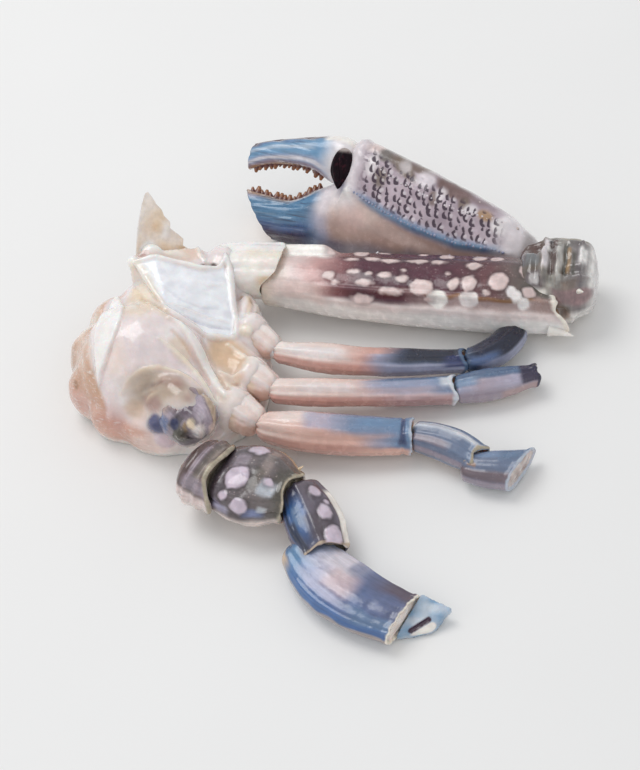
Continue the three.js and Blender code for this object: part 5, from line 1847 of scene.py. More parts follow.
# The white hues on the leaf, crests and plate edges are partly white shell and partly painted highlights; the darker
# hues of the sunken creases (negative heights) are painted shade.
FOLDS = [
    (0.9, (0.5, 2.2, 3.2, 3.6, 3.3, 2.1, 0.2), 0.25, "white", 1.0,
     [(-54.0, 17.0, 18.0), (-52.8, 12.0, 20.6), (-51.2, 6.5, 23.4), (-50.4, 1.2, 24.6), (-50.4, -3.6, 24.0),
      (-50.8, -7.8, 21.6), (-51.5, -11.4, 17.2)]),
    (-0.5, (0.3, 0.4, 0.4, 0.4, 0.2), 0.5, "tan 35 brown", 0.35,
     [(-57.0, 14.0, 18.0), (-57.2, 8.0, 19.6), (-56.6, 1.5, 21.2), (-54.6, -4.0, 21.6), (-52.8, -9.0, 18.6)]),
    (1.0, (0.4, 0.7, 0.8, 0.8, 0.6, 0.5), 0.45, "white", 0.95,
     [(-49.6, 23.2, 25), (-44.4, 25.4, 25.2), (-38, 25.4, 23.4), (-33, 25.4, 21.4), (-29.6, 27.6, 19.0),
      (-28.4, 31.0, 19.4)]),
    (0.9, (0.5, 0.8, 0.7, 0.6, 0.5, 0.8), 0.45, "white", 0.9,
     [(-28.6, 32.4, 19.6), (-27.0, 29.4, 18.8), (-25.6, 24.0, 16.6), (-24.0, 18.2, 15.0), (-22.2, 13.0, 14.6),
      (-21.6, 9.6, 14.2)]),
    (0.55, (0.3, 0.5, 0.5, 0.6, 0.6, 0.5), 0.4, "white", 0.8,
     [(-47.4, 21.8, 23.4), (-42.6, 15.0, 23.6), (-37.6, 9.2, 23.2), (-32.6, 7.0, 20.6), (-28.2, 6.0, 17.4),
      (-21.6, 9.0, 14.2)]),
    (-0.6, (0.3, 0.5, 0.6, 0.4, 0.2), 0.45, "tan 20 brown", 0.45,
     [(-48.2, 20.6, 22.2), (-43.6, 13.4, 23.6), (-38.6, 7.8, 24.4), (-33.0, 5.6, 21.6), (-28.4, 5.0, 18.0)]),
    (0.5, (0.5, 1.0, 1.0, 0.6), 0.6, "cream 25 ochre", 0.55,
     [(-50.8, 20.5, 20.8), (-46.0, 13.0, 23.0), (-40.0, 6.6, 25.2), (-35.4, 4.4, 25.0)]),
    (0.2, (1.8, 2.2, 1.6, 0.6), 0.9, "white 45 cream", 0.85,
     [(-49.4, 23.0, 22.6), (-46.6, 19.6, 22.0), (-43.4, 15.2, 22.8), (-40.0, 11.4, 23.2)]),
    (-0.5, (0.2, 0.35, 0.3, 0.2), 0.45, "spot 40 steel", 0.45,
     [(-41.5, 17.3, 23.0), (-35.8, 13.8, 20.8), (-31.1, 13.6, 18.4), (-26.9, 15.5, 16.4)]),
    (0.5, (0.2, 0.5, 0.2), 0.5, "white", 0.7, [(-35.1, 21.1, 20.9), (-30.7, 20.9, 19.0), (-27.1, 23.7, 17.4)]),
    (0.6, (0.2, 0.5, 0.5, 0.2), 0.4, "white", 0.8,
     [(-38.0, 11.4, 22.8), (-33.3, 11.4, 19.8), (-28.4, 11.4, 17.0), (-24.0, 12.4, 15.0)]),
    (-0.5, (0.2, 0.4, 0.4, 0.2), 0.4, "spot 40 steel", 0.45,
     [(-36.6, 9.6, 22.2), (-32.4, 9.4, 19.4), (-27.8, 9.4, 16.8), (-23.5, 10.8, 14.6)]),
    (1.1, (0.3, 0.9, 1.3, 1.4, 1.2, 1.0, 0.7), 0.55, "white 12 cream", 0.95,
     [(-35.5, 4.6, 24.6), (-33.0, 3.8, 23.6), (-30.2, 2.0, 21.6), (-27.8, -0.7, 19.0), (-25.4, -4.0, 16.2),
      (-22.6, -7.8, 14.4), (-20.4, -10.2, 13.4)]),
    (-0.7, (0.3, 0.5, 0.6, 0.5, 0.3), 0.5, "tan 25 brown", 0.5,
     [(-28.4, 3.6, 18.0), (-25.8, 0.2, 16.8), (-23.4, -3.4, 14.6), (-21.0, -6.6, 13.4), (-19.4, -8.2, 12.6)]),
    (0.8, (0.3, 0.6, 0.8, 0.8, 0.7, 0.5), 0.45, "cream 25 white", 0.9,
     [(-36.4, -2.6, 25.0), (-33.4, -4.0, 23.0), (-30.3, -5.2, 20.6), (-27.6, -6.8, 18.2), (-24.6, -9.8, 16.0),
      (-22.4, -12.4, 13.4)]),
    (-0.5, (0.3, 0.6, 0.5, 0.3), 0.6, "tan 40 ochre", 0.5,
     [(-34.0, 0.8, 24.4), (-30.6, -1.2, 21.4), (-27.6, -4.0, 18.4), (-24.6, -7.6, 15.6)]),
    (0.5, (0.2, 0.45, 0.5, 0.5, 0.5, 0.5, 0.3), 0.4, "cream 30 tan", 0.6,
     [(-45.4, -13.4, 16.2), (-43.1, -11.9, 19.0), (-40.2, -10.4, 21.4), (-35.6, -8.8, 21.8), (-31.3, -8.9, 20.8),
      (-28.1, -10.0, 19.2), (-25.2, -11.4, 17.0)]),
    (-0.3, (0.2, 0.4, 0.3, 0.2), 0.5, "brown 30 grey", 0.4,
     [(-42.6, -13.6, 17.6), (-37.6, -12.4, 19.4), (-32.4, -12.2, 19.6), (-28.0, -13.0, 18.8)]),
    (0.35, (0.2, 0.5, 0.4, 0.2), 0.5, "cream 20 tan", 0.35,
     [(-41.6, -15.0, 15.8), (-37.4, -14.6, 17.6), (-33.0, -14.6, 18.2), (-30.2, -15.2, 18.0)]),
    (0.5, (0.3, 0.6, 0.5, 0.3), 0.5, "cream 25 ochre", 0.7,
     [(-24.4, 28.0, 16.0), (-22.0, 25.5, 15.2), (-20.6, 21.0, 13.4), (-20.2, 16.0, 14.0)]),
    (0.5, (0.3, 0.5, 0.5, 0.3), 0.5, "cream 30 white", 0.7,
     [(-21.4, 28.6, 15.0), (-19.4, 25.4, 13.4), (-19.2, 21.0, 11.6), (-18.6, 17.0, 13.0)]),
    (-0.4, (0.2, 0.5, 0.3), 0.5, "ochre 30 brown", 0.5,
     [(-22.8, 26.4, 14.6), (-20.8, 22.4, 13.0), (-20.8, 17.6, 12.8)]),
    (0.45, (0.3, 0.7, 0.7, 0.3), 0.5, "white 25 cream", 0.7,
     [(-23.0, 6.4, 14.0), (-19.8, 4.4, 13.4), (-16.4, 2.8, 13.2), (-13.6, 1.6, 12.4)]),
    (0.4, (0.3, 0.6, 0.3), 0.5, "white 25 cream", 0.6,
     [(-23.6, -2.0, 14.4), (-20.2, -2.6, 13.0), (-16.4, -1.6, 12.6)]),
    (-0.45, (0.2, 0.5, 0.3), 0.5, "ochre 40 rose", 0.4, [(-19.8, 8.2, 12.8), (-17.0, 7.4, 9.0), (-15.2, 7.0, 5.0)]),
    (-0.45, (0.2, 0.5, 0.3), 0.5, "ochre 40 rose", 0.4,
     [(-19.6, -4.6, 12.4), (-17.6, -4.4, 8.0), (-16.0, -4.2, 4.0)]),
    (0.6, (0.4, 0.6, 0.6, 0.5, 0.4), 0.45, "white 25 cream", 0.9,
     [(-51.0, 26.0, 23.0), (-48.6, 31.4, 23.0), (-44.0, 33.6, 20.8), (-41.0, 35.4, 20.4), (-37.2, 37.0, 19.4)]),
    (0.6, (0.4, 0.5, 0.4), 0.45, "white 25 cream", 0.8,
     [(-37.2, 36.8, 19.4), (-35.6, 33.0, 19.6), (-32.6, 29.4, 19.4)]),
    (-0.35, (0.4, 0.9, 0.4), 0.7, "rose 50 tan", 0.3,
     [(-48.6, 27.8, 23.2), (-43.0, 29.4, 22.0), (-37.0, 30.0, 20.6)]),
    (-0.35, (0.2, 0.4, 0.4, 0.2), 0.5, "rose 40 brown", 0.3,
     [(-62, 5, 9), (-60, -4, 9), (-56, -11, 7.6), (-50, -16, 5.6)]),
]
# A hole or dent has its middle, reach, turn, fillet and hue; its dark, brown or rose hue is painted shade inside it.
HOLES = [
    ((-31.9, 28.9, 19.4), (2.1, 0.9, 1.8), -35, 0.35, "dark 30 brown"),
    ((-42.0, 35.0, 20.8), (2.2, 0.5, 1.6), 25, 0.3, "brown 40 dark"),
    ((-49.6, 28.6, 23.4), (2.2, 1.3, 0.8), 10, 0.6, "rose 40 brown"),
    ((-24.0, 24.0, 14.0), (0.8, 1.4, 1.2), 12, 0.4, "ochre 30 brown"),
]
KNOBS = [
    ((-19.4, 11.2, 14.4), (1.8, 1.6, 1.5), 0.6, "cream 40 white"),
    ((-35.4, -18.2, 11.6), (2.9, 2.0, 2.6), 0.8, "indigo 30 dark"),
    ((-34.4, -19.2, 7.6), (2.5, 1.6, 2.4), 0.7, "spot 20 pink"),
    ((-31.4, -17.2, 16.0), (1.6, 1.6, 1.8), 0.6, "indigo 45 dark"),
    ((-48.0, 31.2, 21.6), (3.0, 1.8, 1.5), 0.9, "white"), ((-50.4, 24.8, 23.6), (1.6, 1.5, 1.5), 0.8, "white"),
]
PATCHES = [
    ("cream 25 tan", 0.75, (-46, 16, 22), (8, 7, 6), 0), ("cream 15 ochre", 0.6, (-40.5, 8.6, 25), (7, 3.6, 5), -45),
    ("dome 20 white", 0.7, (-43, 3, 26), (8, 9, 5), 0), ("lilac 60 dome", 0.3, (-40, -4, 25), (7, 6, 5), 0),
    ("cream 30 ochre", 0.5, (-31.5, -3, 22.2), (5, 3, 4), -40),
    ("cream 45 pink", 0.5, (-42, 29.6, 22), (10, 5.5, 6), -15),
    ("tan 30 pink", 0.5, (-38, 33.0, 19.4), (5, 3, 4), -20), ("meat 20 white", 0.5, (-47, -7, 22), (5, 6, 6), 0),
    ("tan 12 ochre", 0.8, (-22.5, 3.4, 14), (8.5, 6.5, 6), -20),
    ("tan 10 ochre", 0.5, (-20.6, -3.6, 13.4), (5, 4, 4), -10),
    ("cream 15 tan", 0.7, (-20.5, -9.4, 10), (5, 5, 6), 0),
    ("white 15 lilac", 0.5, (-18.4, -7.6, 12), (2.6, 2.6, 4), 0),
    ("white", 0.7, (-20.5, 15.6, 14.4), (3.6, 3.4, 4), 0),
    ("white 25 cream", 0.7, (-15.6, 1.6, 12), (3.6, 3.2, 4), 0),
    # These two rose patches low between the leg roots are partly soft skin and partly painted shade.
    ("rose 45 tan", 0.45, (-17.2, 10.4, 8), (3, 3.4, 6), 0), ("rose 45 tan", 0.45, (-16.4, -3.4, 6), (3, 3, 6), 0),
    ("brown 50 cream", 0.85, (-34.4, -13.6, 18.0), (13.5, 6.2, 9), -12),
    ("brown 35 cream", 0.6, (-33.6, -13.6, 18.2), (10, 4.6, 7), -12),
    ("brown 30 grey", 0.3, (-33.2, -12.6, 19.4), (5.6, 1.4, 3), -8),
    ("rose 45 tan", 0.5, (-17, -3, 2.5), (6, 15, 4), 0),
    ("brown 35 dark", 0.45, (-28.8, -14.2, 18.6), (3.0, 2.2, 3), -35),
    ("olive 40 ochre", 0.6, (-25.6, -13.4, 17.0), (2.2, 2.6, 3), -35),
    ("pink 35 cream", 0.5, (-41, -15.6, 12), (4, 3, 5), -20),
    ("pink 40 white", 0.7, (-38.5, -20.0, 5.5), (7, 4, 4), -15),
    ("rose 30 tan", 0.6, (-54.4, 19.6, 16), (3.4, 3.2, 5), 20), ("rose 45 meat", 0.6, (-58, -8, 8), (6, 6, 5), 40),
    ("rose 30 pink", 0.7, (-47.5, -12.6, 8), (8, 5, 7), -25),
    ("brown 50 rose", 0.6, (-31.6, -12.2, 19.2), (6, 2.6, 3), -22),
    ("brown 40 rose", 0.75, (-28.2, -14.8, 18.4), (3.8, 2.8, 3), -35),
    ("cream 25 ochre", 0.6, (-44.6, 7, 25.4), (7, 6, 4), -50),
    ("white 30 cream", 0.7, (-42, 31.6, 22), (8, 3.4, 4), -15),
    ("spot 40 white", 0.6, (-25.4, 28.6, 17.4), (2.6, 4, 3), 20),
    ("white 30 cream", 0.6, (-60, 8.5, 15), (3.4, 6, 5), 0),
    ("brown 30 ochre", 0.7, (-59.8, -7.4, 12.4), (1.2, 1.2, 1.6), 0),
    ("brown 35 tan", 0.35, (-62, 3, 11), (2.4, 7, 5), 0),
    ("indigo 30 dark", 0.9, (-35.4, -18.6, 11.8), (3.2, 2.3, 2.8), 0),
    ("paddle 30 spot", 0.5, (-36.6, -18.4, 13.4), (1.6, 1.4, 1.2), 0),
    ("spot 20 pink", 0.9, (-34.4, -20.0, 7.4), (2.6, 1.8, 2.4), 0),
    ("ochre 35 cream", 0.8, (-19.2, 11.0, 14.8), (1.1, 1.0, 1.2), 0),
    ("brown 45 rose", 0.7, (-35.4, -15.6, 15.6), (6.5, 3.0, 4), -15),
    ("tan 30 brown", 0.5, (-42.4, -14.4, 12.8), (4, 3, 4), -15),
]


def root_room(points, form):
    """How far points lie outside a straight limb piece, and at what share of it."""
    start, end = form.line[0], form.line[-1]
    ahead = unit(end - start)
    side = unit(np.array([-ahead[1], ahead[0], 0]))
    top = np.cross(ahead, side)
    gap = points - start
    run = gap @ ahead
    share = np.clip(run / form.length, 0, 1)
    wide, tall = between(form.width, share) / 2, between(form.height, share) / 2
    beyond = run - np.clip(run, 1.5, form.length)
    round_it = np.sqrt((gap @ side / wide) ** 2 + (gap @ top / tall) ** 2 + (beyond / 3) ** 2)
    return (round_it - 1) * np.minimum(wide, tall), run / form.length


def fold_mask(points, widths, soft, path):
    """Where points lie on a fold."""
    level = np.array([1, 1, 0.3])
    away, share = path_distance(points * level, np.asarray(path) * level)
    wide = np.interp(share, np.linspace(0, 1, len(widths)), widths)
    return smooth(wide + soft, wide - soft, away)


def raw_flesh(points):
    """Where the thorax is raw flesh: left of its split and along its lower rim."""
    x, y, z = np.moveaxis(points, -1, 0)
    split = np.interp(y, *SPLIT)
    return np.maximum(smooth(-0.1, 1.2, split - x), smooth(11.5, 8.5, z) * smooth(-34, -42, x) * smooth(6, -2, y))


def joined(body, points, lumps, fillet):
    """The distance of a body with lumps joined to it."""
    for lump in lumps:
        body = round_join(body, oval_distance(points, *lump), fillet)
    return body


def suture_marks(points, wide, narrow):
    """For each suture of the underside, where points lie on it as seen from below."""
    return [smooth(wide, narrow, path_distance(points[..., :2], suture)[0]) for suture in SUTURES]


def thorax_distance():
    """The distance of the split thorax, with its plates, folds, holes and the skin that runs on over the limbs."""
    plate = hull_planes(PLATE)
    wall = hull_planes(FRONT_WALL)
    slab = hull_planes([(x, y, z) for x, y in UNDERSIDE for z in (0, UNDERSIDE_DEPTH)])
    roots = [(form_of(name), cover) for name, cover in LIMB_ROOTS.items()]

    def distance(points):
        body = joined(oval_distance(points, *LUMPS[0]), points, LUMPS[1:], LUMP_FILLET)
        flesh = joined(oval_distance(points, *FLESH_LUMPS[0]), points, FLESH_LUMPS[1:], FLESH_FILLET)
        body = joined(round_join(body, flesh, FLESH_FILLET), points, ROOT_LUMPS, LUMP_FILLET)
        body = body + 0.25
        body = round_join(body, hull_distance(points, slab) - 0.2, SLAB_FILLET)
        body = round_join(body, hull_distance(points, wall) - 0.1, WALL_FILLET)
        close = np.abs(body) < RELIEF_DEPTH
        some = points[close]
        value = body[close]
        z = some[..., 2]
        for form, cover in roots:
            room, share = root_room(some, form)
            skin = room - 0.32 + 1.6 * smooth(cover - 0.12, cover + 0.2, share)
            value = round_join(value, skin, SKIN_FILLET)
        off_plate = hull_distance(some, plate)
        value = round_join(value, off_plate - 0.15, PLATE_FILLET)
        raw = raw_flesh(some)
        chalk = smooth(0.9, 0.3, off_plate)
        value = value - raw * (0.34 * np.abs(speckle(some, 4.6, 3)) + 0.1 * np.abs(speckle(some, 1.9, 5)) - 0.2)
        value = value - (1 - raw) * (1 - chalk) * (0.3 * speckle(some, 7, 9) + 0.12 * speckle(some, 3.0, 8))
        value = value - 0.22 * chalk * rough(some, 2.6, 2, 4) * smooth(24, 12, some[..., 1] - 0.3 * some[..., 0] - 9)
        for height, widths, soft, _, _, path in FOLDS:
            value = value - height * fold_mask(some, widths, soft, path)
        for at, reach, turn, fillet, _ in HOLES:
            value = round_cut(value, oval_distance(some, at, reach, turn), fillet)
        for at, reach, fillet, _ in KNOBS:
            value = round_join(value, oval_distance(some, at, reach), fillet)
        low = smooth(2.4, 0.6, z)
        for mark in suture_marks(some, 0.9, 0.1):
            value = value + 0.7 * low * mark
        body[close] = value
        return np.maximum(body, 0.02 - points[..., 2])

    return distance


def paint_thorax(points, normals):
    """Translucent dome, raw flesh at the split, chalky plate, cream folds and crests, tan skin, a mottled mound."""
    x, y, z = np.moveaxis(points, -1, 0)
    fine = rough(points, 2.0, 3, 70)
    wide = rough(points, 7.0, 2, 71)
    tints = lay(tone("dome"), tone("white"), 0.15 + 0.4 * wide)
    raw = raw_flesh(points)
    flesh = lay(hue("tan 40 rose") * 0.9, hue("meat 30 white"), 0.15 + 0.6 * speckle(points, 3.4, 81))
    flesh = lay(flesh, hue("rose 30 tan"), 0.8 * smooth(2, -9, y) * smooth(17, 7, z))
    tints = lay(tints, flesh, raw)
    moved = warped(points, 3.0, 0.9, 60)
    for text, strength, at, reach, turn in PATCHES:
        over = lay(hue(text), hue(text) * 0.75, 0.5 * smooth(0.1, 0.7, fine))
        tints = lay(tints, over, strength * smooth(0, 0.55, near(moved, at, reach, turn)))
    # The holes get painted shade; the knobs get their own colour.
    for at, reach, *_, text in HOLES + KNOBS:
        tints = lay(tints, hue(text), 0.9 * smooth(-0.25, 0.2, near(points, at, np.asarray(reach) * 1.15)))
    chalk = smooth(0.7, 0.3, hull_distance(points + 0.25 * fine[..., None], hull_planes(PLATE))) * smooth(11.5, 13, z)
    tints = lay(tints, (0.91, 0.91, 0.93), chalk)
    tints = lay(tints, hue("spot 30 steel"), 0.22 * chalk * smooth(0.1, 0.6, rough(points, 3.0, 2, 88)))
    # Painted highlights on the white crests and painted shade in the sunken creases, partly over the folds' own
    # colours.
    for _, widths, soft, text, strength, path in FOLDS:
        tints = lay(tints, hue(text), strength * fold_mask(points, widths, soft, path) * (0.85 + 0.3 * fine))
    below = smooth(-0.1, -0.6, normals[..., 2]) * smooth(6, 3, z)
    tints = lay(tints, hue("white 12 cream"), np.maximum(below, 0.7 * smooth(3.5, 1.5, z) * smooth(-57, -53, x)))
    for mark in suture_marks(points, 0.8, 0.2):
        tints = lay(tints, hue("cream 35 brown"), 0.7 * below * mark)
    for name in LIMB_ROOTS:
        room, share = root_room(points, form_of(name))
        skin = smooth(1.2, 0.5, room) * smooth(0.15, 0.35, share)
        tints = lay(tints, hue("white 40 pink"), 0.75 * skin * smooth(3, 6, z))
    return tints, raw, chalk


def flesh_finish():
    """Wet translucent skin and flesh: light scatters in it, fine fibres where it is raw, chalk where it is plate."""
    finish = Finish("thorax_flesh", Subsurface_Radius=(1.0, 0.6, 0.45), Subsurface_Scale=0.003,
                    Coat_Weight=0.8, Coat_Roughness=0.07, IOR=1.42)
    base = finish.attribute("tint", "Color")
    raw = finish.attribute("raw")
    chalk = finish.attribute("chalk")
    cloud = finish.noise(3.2, 3)
    base = finish.clouded(base, cloud, 0.94, 1.05)
    fibre = finish.noise(1.0, 4, finish.scaled(finish.place, (0.35, 1.0, 1.2)), distortion=0.8)
    pale = finish.times(finish.step(fibre, 0.55, 0.72), finish.times(raw, 0.45))
    finish.set(Base_Color=finish.mixed(pale, base, (0.93, 0.86, 0.82)),
               Subsurface_Weight=finish.step(chalk, 0, 1, 0.5, 0.25),
               Roughness=finish.step(cloud, 0.25, 0.75, 0.16, 0.3))
    finish.bump((finish.noise(2.4, 3), 0.22), (finish.times(fibre, raw), 0.25), (finish.noise(0.6, 3), 0.035))
    return finish.material


def make_thorax():
    """The split thorax as one skin over its plates, folds, flesh and limb roots, and the torn flap on it."""
    distance = thorax_distance()
    points, quads = skinned(distance, (-67, -25, -1), (-9, 43, 31), size("voxel"))
    points = settled(relaxed(points, quads, 2), distance, 1, 0.25)
    tints, raw, chalk = paint_thorax(points, point_normals(points, quads))
    fields = {"tint": tints, "raw": raw, "chalk": chalk}
    dress(mesh_object("split_thorax", points, quads, NO_TRIS, flesh_finish(), fields), "inner_shell_and_meat", "body")
    make_flap()


FLAP_PATCHES = [
    ("ochre", 0.35, (-46.3, 35.9, 24.9), (2.2, 2, 3), 0.7), ("white", 0.9, (-48.4, 31.0, 22.2), (2.8, 3, 2.2), 0.5),
    ("tan 30 pink", 0.5, (-40, 35.5, 18.5), (4, 3, 3), 0.7),
]  # a hue, its strength, its middle and reach, and how soft its edge is
FLAP_POINTS = (60, 80)  # the flap's mesh points across and up
FLAP_NICKS = (0, 0.1, 0.7, 0.1, 0.5, 0.9, 0.2, 0.6, 0.1, 0.5, 0.1, 0)  # how deep its far edge is torn, from foot to tip


def make_flap():
    """The torn flap of thin skin that stands up at the front: two faces with a ragged edge."""
    across, up = FLAP_POINTS
    u, v = np.meshgrid(np.linspace(0, 1, across), np.linspace(0, 1, up), indexing="ij")

    def bow(first, middle, last, t):
        first, middle, last = (np.asarray(corner, float) for corner in (first, middle, last))
        t = t[..., None]
        return first * (1 - t) ** 2 + 2 * middle * t * (1 - t) + last * t**2

    left = bow((-51.0, 26.8, 19.8), (-51.2, 33.5, 27.5), (-49.3, 40.7, 32.6), v)
    right = bow((-37.2, 34.6, 16.2), (-42.5, 37.6, 25.0), (-48.6, 40.9, 32.7), v)
    ragged = 1 - 0.16 * np.interp(v, np.linspace(0, 1, len(FLAP_NICKS)), FLAP_NICKS)
    w = (u * ragged)[..., None]
    sheet = left * (1 - w) + right * w
    away = unit(np.array([-0.35, 0.75, 0.2]))
    sheet = sheet + away * (1.3 * np.sin(u * math.pi) * (1 - v) ** 0.7)[..., None]
    sheet = sheet + away * (0.35 * speckle(sheet, 3.4, 91) + 0.5 * np.sin(u * 9) * (1 - v) * 0.4)[..., None]
    normal = unit(np.cross(np.gradient(sheet, axis=0), np.gradient(sheet, axis=1)))
    thick = size("flap") / 2 * (1 - 0.45 * np.maximum(u, v) ** 4)
    faces = [sheet + normal * thick[..., None], sheet - normal * thick[..., None]]
    points = np.concatenate([face.reshape(-1, 3) for face in faces])
    index = np.arange(across * up).reshape(across, up)
    front = np.stack([index[:-1, :-1], index[1:, :-1], index[1:, 1:], index[:-1, 1:]], -1).reshape(-1, 4)
    border = np.concatenate([index[:, 0], index[-1, 1:], index[-2::-1, -1], index[0, -2:0:-1]])
    after = np.roll(border, -1)
    half = across * up
    side = np.stack([border, border + half, after + half, after], -1)
    quads = outward(points, np.concatenate([front, front[:, ::-1] + half, side]))
    tints = lay(hue("white 50 dome"), hue("dome 55 tan"), 0.5 + 0.6 * speckle(points, 3, 93))
    for text, strength, at, reach, edge in FLAP_PATCHES:
        tints = lay(tints, hue(text), strength * smooth(0, edge, near(points, at, reach)))
    finish = Finish("torn_skin", Subsurface_Weight=0.35, Subsurface_Radius=(1.0, 0.7, 0.45), Subsurface_Scale=0.003,
                    Coat_Weight=0.6, Coat_Roughness=0.12, IOR=1.38)
    finish.set(Base_Color=finish.clouded(finish.attribute("tint", "Color"), finish.noise(1.6, 4), 0.9, 1.04),
               Roughness=finish.step(finish.noise(2.0, 2), 0.3, 0.7, 0.22, 0.4))
    finish.bump((finish.noise(1.8, 3), 0.15), (finish.noise(0.3, 2), 0.03))
    dress(mesh_object("torn_flap", points, quads, NO_TRIS, finish.material, {"tint": tints}), "inner_shell_and_meat")


# ---- teeth and granules, grown on points ----


GROWN = {
    "cone": ("GeometryNodeMeshCone",
             {"Vertices": 10, "Side Segments": 5, "Radius Top": 0.16, "Radius Bottom": 0.6, "Depth": 1.0}),
    "bead": ("GeometryNodeMeshIcoSphere", {"Radius": 0.5, "Subdivisions": 2}),
}  # what stands on the points, one unit large
SMALLEST, UNEVENNESS = 0.85, 0.3  # the least share of its size that each is given, and what chance adds to it


def grown_tree(name, shape):
    """A node group that sets a small cone or bead on each point, along its facing and as large as its size."""
    tree = bpy.data.node_groups.new(name, "GeometryNodeTree")
    for label, way, kind in (("Geometry", "INPUT", "Geometry"), ("Height", "INPUT", "Float"), ("Seed", "INPUT", "Int"),
                             ("Material", "INPUT", "Material"), ("Geometry", "OUTPUT", "Geometry")):
        tree.interface.new_socket(label, in_out=way, socket_type="NodeSocket" + kind)

    def node(kind, inputs, **settings):
        made = tree.nodes.new(kind)
        for key, value in settings.items():
            setattr(made, key, value)
        for key, value in inputs.items():
            if isinstance(value, bpy.types.NodeSocket):
                tree.links.new(value, made.inputs[key])
            else:
                made.inputs[key].default_value = value
        return made.outputs

    def named(key, kind):
        return node("GeometryNodeInputNamedAttribute", {"Name": key}, data_type=kind)["Attribute"]

    group = node("NodeGroupInput", {})
    one = node(*GROWN[shape])["Mesh"]
    tall = node("ShaderNodeSeparateXYZ", {0: node("GeometryNodeInputPosition", {})[0]})["Z"]
    one = node("GeometryNodeStoreNamedAttribute", {"Name": "tall", "Geometry": one, "Value": tall},
               data_type="FLOAT", domain="POINT")["Geometry"]
    turn = node("FunctionNodeAlignRotationToVector", {"Vector": named("facing", "FLOAT_VECTOR")}, axis="Z")["Rotation"]
    chance = node("FunctionNodeRandomValue", {"Seed": group["Seed"]}, data_type="FLOAT")[1]
    uneven = node("ShaderNodeMath", {0: chance, 1: UNEVENNESS, 2: SMALLEST}, operation="MULTIPLY_ADD")[0]
    wide = node("ShaderNodeMath", {0: named("large", "FLOAT"), 1: uneven}, operation="MULTIPLY")[0]
    high = node("ShaderNodeMath", {0: wide, 1: group["Height"]}, operation="MULTIPLY")[0]
    scale = node("ShaderNodeCombineXYZ", {"X": wide, "Y": wide, "Z": high})[0]
    grow = node("GeometryNodeInstanceOnPoints",
                {"Points": group["Geometry"], "Instance": one, "Rotation": turn, "Scale": scale})[0]
    real = node("GeometryNodeRealizeInstances", {0: grow})[0]
    shaded = node("GeometryNodeSetShadeSmooth", {"Geometry": real})[0]
    finished = node("GeometryNodeSetMaterial", {"Geometry": shaded, "Material": group["Material"]})[0]
    node("NodeGroupOutput", {0: finished})
    return tree


def grown(name, shape, points, facings, sizes, material, slot, height=1.0, seed=0):
    """A piece of small cones or beads that stand on points, as one plain mesh."""
    mesh = bpy.data.meshes.new(name + "_places")
    mesh.from_pydata(((np.asarray(points) + SHIFT) * MM).tolist(), [], [])
    give(mesh, "facing", facings)
    give(mesh, "large", np.asarray(sizes, np.float32) * MM)
    holder = linked(name + "_places", mesh)
    modifier = holder.modifiers.new("grown", "NODES")
    modifier.node_group = bpy.data.node_groups.get("grown_" + shape) or grown_tree("grown_" + shape, shape)
    wanted = {"Height": height, "Seed": seed, "Material": material}
    for item in modifier.node_group.interface.items_tree:
        if item.name in wanted:
            modifier[item.identifier] = wanted[item.name]
    plain = bpy.data.meshes.new_from_object(holder.evaluated_get(bpy.context.evaluated_depsgraph_get()))
    plain.name = name
    bpy.data.objects.remove(holder)
    if material.name not in [kind.name for kind in plain.materials if kind]:
        plain.materials.append(material)
    dress(linked(name, plain), slot)
    return plain


def make_teeth():
    """The teeth along both fingers: low brown cones with paler tips, in no even row."""
    rng = seeded(3)
    points, facings, sizes = [], [], []
    up_way = on_claw(0, 1, 0) - on_claw(0, 0, 0)
    forward = on_claw(1, 0, 0) - on_claw(0, 0, 0)
    for form, way in ((hand_form(), 1), (finger_form(), -1)):
        for k, along in enumerate(np.linspace(CLAW_TEETH["first"], CLAW_TEETH["last"], CLAW_TEETH["count"])):
            top, bottom, _ = form.edges(along - form.first)
            edge = top if way > 0 else bottom
            tall = size("tooth") * (0.55 + 0.45 * abs(math.cos(k * 1.35 + way))) * rng.uniform(0.85, 1.1)
            points.append(on_claw(along, edge - way * tall * CLAW_TEETH["sunk"], rng.uniform(-0.3, 0.3)))
            facings.append(up_way * way + forward * rng.uniform(-0.15, 0.35))
            sizes.append(tall)
    finish = Finish("tooth_shell", Coat_Weight=0.5, Coat_Roughness=0.1, Subsurface_Weight=0.1, Subsurface_Scale=0.0008)
    tall = finish.attribute("tall")
    base = finish.mixed(finish.step(tall, 0.15, 0.9), hue("plum 30 teeth"), hue("teeth 30 ochre"))
    base = finish.mixed(finish.step(finish.noise(0.8, 3), 0.45, 0.7, 0, 0.6), base, tone("plum"))
    finish.set(Base_Color=base, Roughness=finish.step(finish.noise(0.9, 2), 0.3, 0.7, 0.2, 0.4))
    finish.bump((finish.noise(0.4, 2), 0.04))
    grown("claw_teeth", "cone", points, facings, sizes, finish.material, "claw_blue_shell")


def on_face(form, along, up):
    """The outer face of a claw blade at a height across it, and which way it faces."""

    def place(along, up):
        top, bottom, thick = form.edges(along - form.first)
        level = np.clip(np.abs(up - (top + bottom) / 2) / ((top - bottom) / 2), 0, 0.999)
        sine = level ** (CLAW["square"] / 2)
        return on_claw(along, up, thick / 2 * np.sqrt(1 - sine**2) ** (2 / CLAW["square"]))

    at = place(along, up)
    facing = unit(np.cross(place(along + 0.2, up) - at, place(along, up + 0.2) - at))
    outwards = on_claw(0, 0, 1) - on_claw(0, 0, 0)
    return at, facing * np.sign((facing * outwards).sum(-1, keepdims=True))


